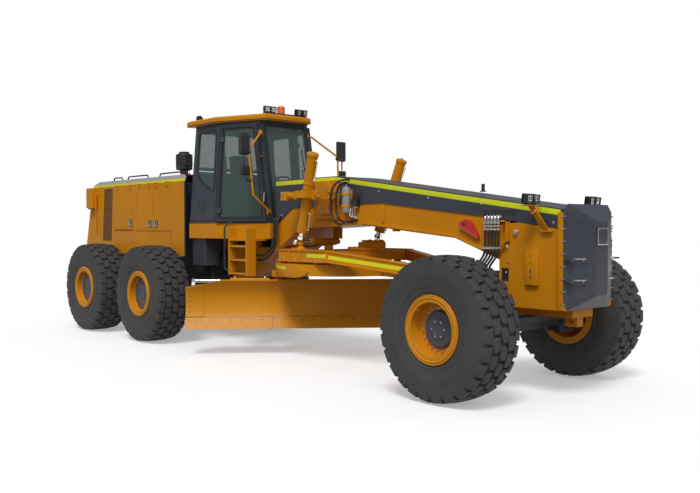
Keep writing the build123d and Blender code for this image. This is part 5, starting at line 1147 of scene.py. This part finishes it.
bits = Bits()
for s in (-1, 1):
    leg_strip(bits, s, 0.09, 1.0, (0.064, -0.075, 0.104, -0.055), YELLOW, 0.003)
    leg_strip(bits, s, 0.09, 1.0, (0.064, 0.060, 0.080, 0.075), YELLOW, 0.003)
    leg_strip(bits, s, 0.12, 0.985, (0.0652, -0.030, 0.0668, 0.022), STRIPE, 0.0004)
    bits.box(at(-3.62, s * 0.8445, 1.43), at(-2.585, s * 0.886, 1.45), YELLOW, 0.003)
    bits.box(at(-3.62, s * 0.8445, 1.585), at(-2.585, s * 0.861, 1.60), YELLOW, 0.003)
    bits.box(at(-2.98, s * 0.8452, 1.492), at(-2.56, s * 0.8468, 1.544), STRIPE, 0.0004)
    bits.bolts([at(-3.56 + 0.115 * k, s * 0.867, 1.45) for k in range(9)], UP, 0.011, STEEL)
    c = at(-3.235, s * 0.742, 1.60)
    bits.spin([(0.001, 0.0005), (0.082, 0.0005), (0.082, 0.018), (0.055, 0.026), (0.036, 0.044),
               (0.001, 0.045)], c, UP, YELLOW, 32)
    bits.bolts(around(c + Vector((0, 0, 0.018)), 0.066, 6), UP, 0.009, STEEL)
    rib = ((0.846, 1.45), (0.884, 1.45), (0.86, 1.585), (0.846, 1.585))
    for x in (-3.36, -3.13):
        bits.prism([at(x, s * y, z) for y, z in rib], (0.014, 0, 0), YELLOW, 0.002)
g = at(-2.67, 0, 1.535)
bits.collar(g, UP, 0.235, 0.262, 0.062, 0.034, YELLOW, 56)
for r, z, count, size in ((0.249, 0.094, 14, 0.010), (0.09, 0.165, 6, 0.009)):
    bits.bolts(around(g + Vector((0, 0, z)), r, count), UP, size, STEEL)
bits.spin([(0.001, 0.165), (0.058, 0.165), (0.058, 0.192), (0.05, 0.2), (0.001, 0.2)], g, UP, YELLOW, 32)
bits.rod(g + Vector((-0.05, -0.228, 0.03)), g + Vector((-0.052, -0.246, 0.03)), 0.024, STEEL, 20)
for x in (-2.595, -2.36):
    bits.collar(at(x, 0, 1.665), AHEAD, 0.071, 0.080, 0, 0.022, YELLOW, edge=0.003)
for x in (-2.45, -2.40):
    bits.nut(at(x, 0, 1.733), UP, 0.018, 0.03, CHROME)
bits.bolts([at(x, y, 1.60) for x in (-3.53, -3.47) for y in (-0.5, 0.5)], UP, 0.011, STEEL)
bits.piece("drawbar_details", "drawbar")

# circle: rim strips that taper off, stripes on them, teeth
def on_ring(r, angle, z):
    t = math.radians(angle)
    return at(-3.2, 0, 0) + Vector((r * math.cos(t), r * math.sin(t), z))


bits = Bits()
STEPS, TAPER_FROM, RIM_Z = 24, 0.78, 1.303
for a0, a1 in ((222, 290), (62.6, -5.4)):
    rings, stripe = [], []
    for k in range(STEPS + 1):
        t = k / STEPS
        a = a0 + (a1 - a0) * t
        q = max(0.0, (t - TAPER_FROM) / (1 - TAPER_FROM))
        half = 0.088 * math.sqrt(max(0.0, 1 - q * q)) + 0.003
        rings.append([on_ring(r, a, z) for r, z in rect(0.952, RIM_Z - half, 0.974, RIM_Z + half)])
        if 0.04 < t < 0.66:
            z = 1.385 - 0.04 * t
            stripe.append([on_ring(r, a, h) for r, h in rect(0.9741, z - 0.042, 0.9758, z)])
    bits.loft(rings, YELLOW, 0.004)
    bits.loft(stripe, STRIPE)
TEETH, TEETH_Z = 96, (1.272, 1.352)
turns = [360 * k / (TEETH * 4) for k in range(TEETH * 4)]
inner = [0.776 if k % 4 in (1, 2) else 0.7995 for k in range(TEETH * 4)]
back0, back1 = ([on_ring(0.803, a, z) for a in turns] for z in TEETH_Z)
low, high = ([on_ring(r, a, z) for r, a in zip(inner, turns)] for z in TEETH_Z)
bits.loft([back0, low, high, back1], RAW)
bits.piece("circle_details", "circle")

# ---- blade --------------------------------------------------------------------------------------------
SLANT = math.radians(52.3)
RIGHT_END, LEFT_END = -2.33, 1.97
ARC_V, ARC_Z, ARC_R = 0.14603, 0.79954, 0.470


def on_blade(u, v, z):
    """Point by its place along the blade (u), behind or before it (v) and its height."""
    return at(-3.2 + u * math.cos(SLANT) + v * math.sin(SLANT), u * math.sin(SLANT) - v * math.cos(SLANT), z)


def on_edge(u, t, out):
    """Point on the cutting edge's front face: t up from its foot."""
    return on_blade(u, -0.166 - t * 0.5 + out * 0.866, 0.40 + t * 0.866 + out * 0.5)


def on_board(u, angle, out):
    """Point on the curved board's front, by the angle on its arc."""
    a = math.radians(angle)
    r = ARC_R - out
    return on_blade(u, ARC_V - r * math.cos(a), ARC_Z + r * math.sin(a))


EDGE_OUT = on_edge(0, 0, 1) - on_edge(0, 0, 0)
BLADE_RUN = on_blade(1, 0, 0) - on_blade(0, 0, 0)
ROD_V, ROD_Z = -0.43, 1.1045             # line of the side-shift cylinder
bits = Bits()
places = [0.06, 0.13] + [0.23 + 0.1528 * k for k in range(26)]
head = [(0.0155, 0.0004), (0.014, 0.003), (0.006, 0.0032), (0.005, 0.001), (0.001, 0.001)]
for u in [RIGHT_END + d for d in places] + [LEFT_END - 0.13, LEFT_END - 0.06]:
    bits.spin(head, on_edge(u, 0.145, 0), EDGE_OUT, RAW, 14)
    bits.bolts([on_edge(u, 0.145, -0.0255)], -EDGE_OUT, 0.013, STEEL)
# seams between the cutting edges and end bits
for u in (RIGHT_END + 0.171, LEFT_END - 0.1725, RIGHT_END + 1.30, RIGHT_END + 2.95):
    bits.plate(on_edge, rect(u, 0.002, u + 0.0035, 0.188), 0.0002, 0.0006, BLACK, 0)
# strip of bare steel along the board's joint with the edge
strip = ((-29.9, 0.0002), (-29.9, 0.004), (-29.0, 0.004), (-29.0, 0.0002))
bits.loft([[on_board(u, a, out) for a, out in strip] for u in (RIGHT_END, LEFT_END)], RAW)
for end, inward in ((RIGHT_END, 1), (LEFT_END, -1)):
    # plate over the board's end, its top rising inwards, with its bolts
    rings = []
    for k in range(7):
        d = 0.27 * k / 6
        top = math.degrees(math.asin((1.0185 + (d + 0.01) * 0.1802 - ARC_Z) / ARC_R))
        line = [-29.5 + (top + 29.5) * j / 12 for j in range(13)]
        rings.append([on_board(end + inward * d, a, 0.011) for a in line]
                     + [on_board(end + inward * d, a, 0.0003) for a in reversed(line)])
    bits.loft(rings, YELLOW, 0.003)
    for angle in (-20, -10, 0, 10, 19):
        outward = on_board(0, angle, 0.1) - on_board(0, angle, 0)
        head = [(0.0155, 0), (0.014, 0.003), (0.006, 0.0032), (0.001, 0.002)]
        bits.spin(head, on_board(end + inward * 0.06, angle, 0.011), outward, RAW, 14)
# lip along the board's top, and the side-shift rod's collar
lip = ((-0.245, 1.118), (-0.206, 1.107), (-0.203, 1.1345), (-0.245, 1.1345))
bits.loft([[on_blade(u, v, z) for v, z in lip] for u in (RIGHT_END + 0.535, LEFT_END - 0.535)], YELLOW, 0.004)
bits.spin([(0.0201, 0), (0.030, 0.004), (0.030, 0.05), (0.0201, 0.055)], on_blade(-2.165, ROD_V, ROD_Z),
          BLADE_RUN, STEEL, 24)
bits.piece("moldboard_details", "moldboard")

bits = Bits()
for u, r in ((-1.672, 0.047), (-1.64, 0.0445), (-1.12, 0.0445)):
    bits.collar(on_blade(u, ROD_V, ROD_Z), BLADE_RUN, 0.0403, r, 0, 0.028, YELLOW, 32, 0.003)
for u in (-1.60, -1.15):
    bits.nut(on_blade(u, ROD_V, 1.1435), UP, 0.016, 0.026, CHROME)
backwards = on_blade(0, -1, 0) - on_blade(0, 0, 0)
bits.bolts([on_blade(u + d, -0.475, 0.70) for u in (-0.93, 0.93) for d in (-0.06, 0.06)], backwards, 0.012,
           STEEL)
bits.piece("tip_frame_details", "tip_frame")

# ---- hood ---------------------------------------------------------------------------------------------
HOOD_Y = 0.9003              # just off the hood's sides
FRONT_FACE, BRACE_FACE = at(-6.85, 0, 0).x, at(-5.685, 0, 0).x
for node in ("hood", "hood_panels"):
    skin(f"{node}_front_coat", node, "rear_frame", DARK, lambda c, n: n.x > 0.7 and c.x > FRONT_FACE)
# painted shade: a dark slate coat on the brace box's outer faces under the cab stands for the deep shadow
# there
skin("brace_box_painted_shade", "cab_platform", "front_frame", DARK,
     lambda c, n: c.z < 1.742 and abs(c.y) > 0.52 and c.x < BRACE_FACE)


def raised_line(bits, s, outline, high):
    """Fine raised line round a panel on the hood's side."""
    bits.rim(flank(s), outline, grown(outline, -0.006), 0.8998, high, YELLOW)


# x of each hood door's front and rear edge, z of its foot
DOORS = ((-6.63, -7.27, 1.86), (-7.28, -7.88, 1.86), (-8.005, -8.77, 1.88))
for side, s in SIDES:
    bits = Bits()
    for k, (x0, x1, low) in enumerate(DOORS):
        # latch: cup, plate, handle and lock
        x = x1 + 0.11 if k == 0 else x0 - 0.11
        latch = rounded(rect(x - 0.068, low + 0.055, x + 0.068, low + 0.185), 0.012, 3)
        bits.plate(flank(s), latch, HOOD_Y, 0.007, BLACK, 0.002)
        bits.plate(flank(s), grown(latch, -0.012), 0.9073, 0.0015, STEEL, 0.0008)
        bits.box(at(x - 0.012, s * 0.9085, low + 0.10), at(x + 0.012, s * 0.915, low + 0.165), BLACK, 0.003)
        bits.spin([(0.001, 0), (0.009, 0), (0.008, 0.003), (0.001, 0.003)], at(x, s * 0.9088, low + 0.093),
                  (0, s, 0), CHROME, 14)
        raised_line(bits, s, rounded(rect(x1 + 0.03, low + 0.03, x0 - 0.03, 2.66), 0.02, 3), 0.9012)
    bits.piece(f"hood_door_trim_{side}", f"hood_doors_{side}")

GRILLE = [(-8.896, 1.668), (-8.838, 2.652), (-9.195, 2.652), (-9.272, 1.668)]
SCREWS = ((-6.24, 2.60), (-6.24, 2.10), (-6.24, 1.50), (-6.58, 2.60), (-6.58, 1.90), (-6.66, 1.80),
          (-7.25, 1.80), (-7.85, 1.80), (-8.05, 1.80), (-8.75, 1.80), (-9.36, 2.60), (-9.36, 1.75),
          (-9.70, 2.10))
bits = Bits()
for s in (-1, 1):
    # grab handle on its two feet, screws, panel lines
    handle = ((0.899, 2.56), (0.95, 2.56), (0.95, 1.84), (0.899, 1.84))
    bits.bent([at(-9.47, s * y, z) for y, z in handle], 0.0125, YELLOW, 0.045, 12)
    for z in (2.56, 1.84):
        bits.disc(at(-9.47, s * HOOD_Y, z), (0, s, 0), 0.024, 0.004, YELLOW, 20)
    bits.bolts([at(x, s * HOOD_Y, z) for x, z in SCREWS], (0, s, 0), 0.0075, STEEL, washer=False)
    for x0, x1 in ((-6.68, -7.90), (-8.02, -8.80)):
        raised_line(bits, s, rounded(rect(x1, 1.60, x0, 1.80), 0.015, 3), 0.9010)
    # side grille: frame and slats, in the yellow darkened as painted shade
    bits.rim(flank(s), GRILLE, grown(GRILLE, -0.018), 0.8915, 0.8975, MESH)
    for k in range(45):
        z = 1.69 + 0.0215 * k
        t = (z - 1.661) / 0.998
        bits.box(at(-9.264 + 0.080 * t, s * 0.8925, z), at(-8.907 + 0.060 * t, s * 0.8955, z + 0.0085), MESH,
                 0)
    # rear lamp's three lenses, plug and screws
    for z, mat in ((2.60, RED), (2.49, ORANGE), (2.38, LENS)):
        r, c = 0.040, at(-9.7805, s * 0.955, z)
        bits.spin([(r, 0), (r + 0.006, 0.001), (r + 0.006, 0.010), (r, 0.012)], c, BACK, BLACK, 28)
        bits.spin([(0.001, 0), (r, 0), (r * 0.96, 0.008), (r * 0.5, 0.013), (0.001, 0.014)], c, BACK, mat, 28)
    bits.rod(at(-9.76, s * 0.955, 2.30), at(-9.76, s * 0.955, 2.278), 0.022, BLACK, 20, 0.004)
    bits.bolts([at(x, s * 1.01, z) for x in (-9.74, -9.54) for z in (2.34, 2.65)], (0, s, 0), 0.007, STEEL,
               washer=False)
# seam across the roof
bits.run([at(-7.98, y, z) for y, z in ((-0.895, 2.703), (-0.748, 2.8258), (0.748, 2.8258), (0.895, 2.703))],
         0.0035, BLACK, 6)
# radiator screen with its slats and frame, on the sloping rear wall
SLOPE = (10.015 - 9.72) / (2.70 - 1.58)
REAR_OUT = Vector((-0.967, 0, 0.2547))


def on_rear(y, z, out):
    return at(-10.015 + SLOPE * (z - 1.58), y, z) + REAR_OUT * out


# backing behind the screen's slats, in the grille's painted shade
bits.plate(on_rear, rect(-0.74, 1.60, 0.74, 2.62), 0.0005, 0.002, MESH, 0)
slat = ((0, 0.002), (0.004, 0.020), (0.010, 0.020), (0.014, 0.002))
for k in range(22):
    z = 1.63 + 0.0445 * k
    bits.loft([[on_rear(y, z + a, b) for a, b in slat] for y in (-0.73, 0.73)], YELLOW)
bits.rim(on_rear, rect(-0.78, 1.56, 0.78, 2.65), rect(-0.735, 1.605, 0.735, 2.605), 0.0005, 0.022, YELLOW,
         0.003)
for y in (-0.26, 0.26):
    foot = on_rear(y, 1.60, 0)
    bits.box(foot - Vector((0, 0.012, 0)), foot + Vector((0.001, 0.012, 0.001)), YELLOW, 0)
    bar = ((-0.014, 0.018), (-0.014, 0.026), (0.014, 0.026), (0.014, 0.018))
    bits.loft([[on_rear(y + a, z, b) for a, b in bar] for z in (1.60, 2.61)], YELLOW, 0.002)
bits.bolts([on_rear(y, z, 0.022) for y in (-0.757, 0.757) for z in (1.65, 1.95, 2.25, 2.55)], REAR_OUT, 0.008,
           STEEL)
for y in (-0.35, 0.35):
    bits.box(on_rear(y - 0.05, 2.52, 0.022), on_rear(y + 0.05, 2.56, 0.030) + Vector((0.02, 0, 0)), BLACK,
             0.003)
bits.piece("hood_trim", "rear_frame")

# air pre-cleaner
ROOF_Z = 2.8255
BOWL = ((0.001, 0.105), (0.085, 0.108), (0.140, 0.125), (0.146, 0.14), (0.146, 0.205), (0.152, 0.208),
        (0.152, 0.232), (0.146, 0.235), (0.146, 0.36), (0.150, 0.364), (0.150, 0.378), (0.144, 0.384),
        (0.140, 0.398), (0.102, 0.412), (0.092, 0.416), (0.090, 0.438), (0.080, 0.444), (0.001, 0.445))
bits = Bits()
c = at(-7.03, -0.40, 2.826)
bits.spin([(0.001, 0), (0.088, 0), (0.088, 0.012), (0.071, 0.018), (0.071, 0.11), (0.001, 0.11)], c, UP,
          BLACK, 40)
bits.collar(c, UP, 0.0712, 0.0735, 0.03, 0.024, RED, 40)
bits.spin(BOWL, c, UP, BLACK, 56)
for foot in around(c + Vector((0, 0, 0.243)), 0.1455, 28):
    bits.rod(foot, foot + Vector((0, 0, 0.109)), 0.0035, BLACK, 6, 0)
bits.bolts([c + Vector((0.152, 0, 0.22))], AHEAD, 0.008, STEEL)
# exhaust stack in a guard with holes
c = at(-7.05, 0.40, 2.826)
bits.spin([(0.0752, 0), (0.105, 0.002), (0.105, 0.012), (0.0752, 0.02)], c, UP, BLACK, 40)
bits.spin([(0.0655, 0.0), (0.0752, 0.0), (0.0752, 0.505), (0.0735, 0.524), (0.067, 0.524), (0.0655, 0.50)], c,
          UP, STEEL, 40, closed=True)
bits.collar(c, UP, 0.081, 0.096, 0.07, 0.32, DARK, 40, closed=True)
# the guard's holes are thin black discs: painted shade for their dark insides
hole = [(0.001, 0), (0.011, 0), (0.011, 0.0012), (0.001, 0.0012)]
for z, shift in ((0.12, 0), (0.20, 0.5), (0.28, 0), (0.35, 0.5)):
    for d in around(Vector((0, 0, 0)), 1, 12, shift=shift):
        bits.spin(hole, c + d * 0.0955 + Vector((0, 0, z)), d, BLACK, 12)
for z in (0.03, 0.44):
    bits.collar(c, UP, 0.0755, 0.079, z, 0.02, CHROME)
# handrails
for y in (-0.60, 0.60):
    for x0, x1 in ((-6.58, -7.56), (-7.98, -8.80), (-9.02, -9.40)):
        rail = ((x0, ROOF_Z), (x0 - 0.03, 2.893), (x1 + 0.03, 2.893), (x1, ROOF_Z))
        bits.bent([at(x, y, z) for x, z in rail], 0.0135, BLACK, 0.04, 12)
        for x in (x0, x1):
            bits.disc(at(x, y, 2.825), UP, 0.030, 0.005, BLACK, 20, 0.0005)
# whip aerial and filler cap
AERIAL = ((0.001, 0), (0.016, 0), (0.014, 0.014), (0.005, 0.03), (0.0028, 0.035), (0.0022, 0.14),
          (0.001, 0.141))
bits.spin(AERIAL, at(-6.42, -0.66, ROOF_Z), UP, BLACK, 14)
bits.spin([(0.001, 0), (0.055, 0), (0.055, 0.02), (0.048, 0.026), (0.046, 0.04), (0.001, 0.042)],
          at(-8.45, 0.0, ROOF_Z), UP, BLACK, 30)
bits.piece("hood_top_detail", "rear_frame", ("hood_top_fittings",))

# ---- ladders, platform, running gear ------------------------------------------------------------------
bits = Bits()
for s in (-1, 1):
    # treads on the steps, grab rail with its foot, bolts
    for z in (1.22, 1.43, 1.64):
        for k in range(6):
            y = 0.712 + 0.026 * k
            bits.box(at(-4.865, s * y, z + 0.0003), at(-4.445, s * (y + 0.012), z + 0.006), DARK, 0.0015)
    rail = ((-4.91, 0.80, 1.985), (-4.955, 0.85, 1.985), (-4.965, 0.90, 1.90), (-4.965, 0.90, 1.28),
            (-4.91, 0.86, 1.235))
    bits.bent([at(x, s * y, z) for x, y, z in rail], 0.0135, BLACK, 0.045, 12)
    bits.disc(at(-4.904, s * 0.86, 1.235), BACK, 0.026, 0.006, BLACK, 18)
    bits.bolts([at(x, s * 0.8702, z) for x in (-4.89, -4.42) for z in (1.82, 1.93)], (0, s, 0), 0.010, STEEL)
    bits.bolts([at(x, s * 0.80, 1.93) for x in (-6.0, -5.6, -5.2)], (0, s, 0), 0.009, STEEL, washer=False)
bits.piece("ladder_details", "front_frame")

# tandem cases: bolted cover and the bolts round the two hubs
bits = Bits()
for s in (-1, 1):
    bits.plate(flank(s), rounded(rect(-8.30, 0.66, -7.08, 0.96), 0.05, 5), HOOD_Y, 0.012, DARK, 0.003)
    bits.bolts([at(-8.25 + 0.16 * k, s * 0.9123, z) for k in range(8) for z in (0.685, 0.935)], (0, s, 0),
               0.011, STEEL)
    for axle, x in AXLES[1:]:
        bits.bolts(around(at(x, s * 1.0203, AXLE_Z), 0.165, 12, "xz"), (0, s, 0), 0.012, STEEL)
bits.piece("tandem_details", "rear_frame")

# ---- seat ---------------------------------------------------------------------------------------------
def bake_down(obj):
    """Replaces the mesh by its modified form and clears the modifiers."""
    deps = bpy.context.evaluated_depsgraph_get()
    mesh = bpy.data.meshes.new_from_object(obj.evaluated_get(deps))
    obj.modifiers.clear()
    obj.data = mesh


CLOTH_FRAMES = 20


def inflate(obj, cap):
    """Remeshes, blows up with cloth and applies, no point moving more than cap."""
    scene = bpy.context.scene
    obj.data.transform(Matrix.Scale(0.955, 4))
    mod = obj.modifiers.new("remesh", "REMESH")
    mod.mode = "VOXEL"
    mod.voxel_size = 0.009
    bake_down(obj)
    start = [v.co.copy() for v in obj.data.vertices]
    cloth = obj.modifiers.new("cloth", "CLOTH")
    cloth.settings.use_pressure = True
    cloth.settings.uniform_pressure_force = 4
    cloth.settings.effector_weights.gravity = 0
    cloth.settings.quality = 5
    cloth.point_cache.frame_start = 1
    cloth.point_cache.frame_end = CLOTH_FRAMES
    for frame_no in range(1, CLOTH_FRAMES + 1):
        scene.frame_set(frame_no)
    bake_down(obj)
    scene.frame_set(1)
    for v, p in zip(obj.data.vertices, start):
        step = v.co - p
        if step.length > cap:
            v.co = p + step.normalized() * cap


def pad(name, size, place, seams, swell):
    """Crowned cushion of a size (x, y, z), placed by a matrix; seams are the shares of x of its channels."""
    bm = bmesh.new()
    bmesh.ops.create_cube(bm, size=1.0)
    bmesh.ops.subdivide_edges(bm, edges=bm.edges[:], cuts=11, use_grid_fill=True)
    for v in bm.verts:
        p = v.co * 2
        x2, y2, z2 = (part ** 2 for part in p)
        ball = Vector([part * math.sqrt(max(0.0, 1 - (a + b) / 2 + a * b / 3))
                       for part, a, b in zip(p, (y2, z2, x2), (z2, x2, y2))])
        q = p.lerp(ball, 0.22)
        pinch = 1 - 0.05 * (1 - abs(p.z)) * (abs(p.x) ** 6 + abs(p.y) ** 6) * 0.5
        v.co = Vector((q.x * pinch * size[0] / 2, q.y * pinch * size[1] / 2, q.z * size[2] / 2))
    mesh = bpy.data.meshes.new(name)
    bm.to_mesh(mesh)
    bm.free()
    obj = linked(name, mesh)
    inflate(obj, swell)
    bm = bmesh.new()
    bm.from_mesh(obj.data)
    half = [s / 2 for s in size]
    # axis, share of the half size, depth and width of each channel in the upper side
    channels = [(0, share, 0.009, 0.009) for share in seams]
    channels += [(1, share, 0.007, 0.008) for share in (-0.62, 0.62)]
    for v in bm.verts:
        start = v.co.copy()
        if start.z > 0:
            for i, share, depth, wide in channels:
                v.co.z -= depth * math.exp(-((start[i] - share * half[i]) / wide) ** 2)
        for i in range(3):
            v.co[i] = max(-half[i], min(half[i], v.co[i]))
    bm.to_mesh(obj.data)
    bm.free()
    obj.data.transform(place)
    obj.data.materials.clear()
    obj.data.materials.append(FABRIC)
    obj.data.polygons.foreach_set("use_smooth", [True] * len(obj.data.polygons))
    sub = obj.modifiers.new("smooth", "SUBSURF")
    sub.levels = sub.render_levels = 1
    return ride(obj, "front_frame")


SEAT_X = HINGE + 0.34
seat = pad("seat_pad", (0.50, 0.51, 0.119), Matrix.Translation(at(SEAT_X, 0, 2.4305)), (-0.45, 0.1, 0.62),
           0.012)
turn = Matrix.Rotation(math.radians(90) - math.atan2(0.11, 0.69), 4, "Y")
spine = Matrix.Translation(at(HINGE + 0.1, 0, 2.835))
back = pad("seat_back_pad", (0.69, 0.48, 0.115), spine @ turn, (-0.5, 0.0, 0.5), 0.012)
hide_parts("seat_cushions")
bits = Bits()
edge = rounded(rect(-0.235, -0.25, 0.235, 0.25), 0.06, 6)
bits.run([at(SEAT_X + a, b, 2.43) for a, b in edge + edge[:1]], 0.005, BLACK, 8)
bits.piece("seat_piping", "front_frame")
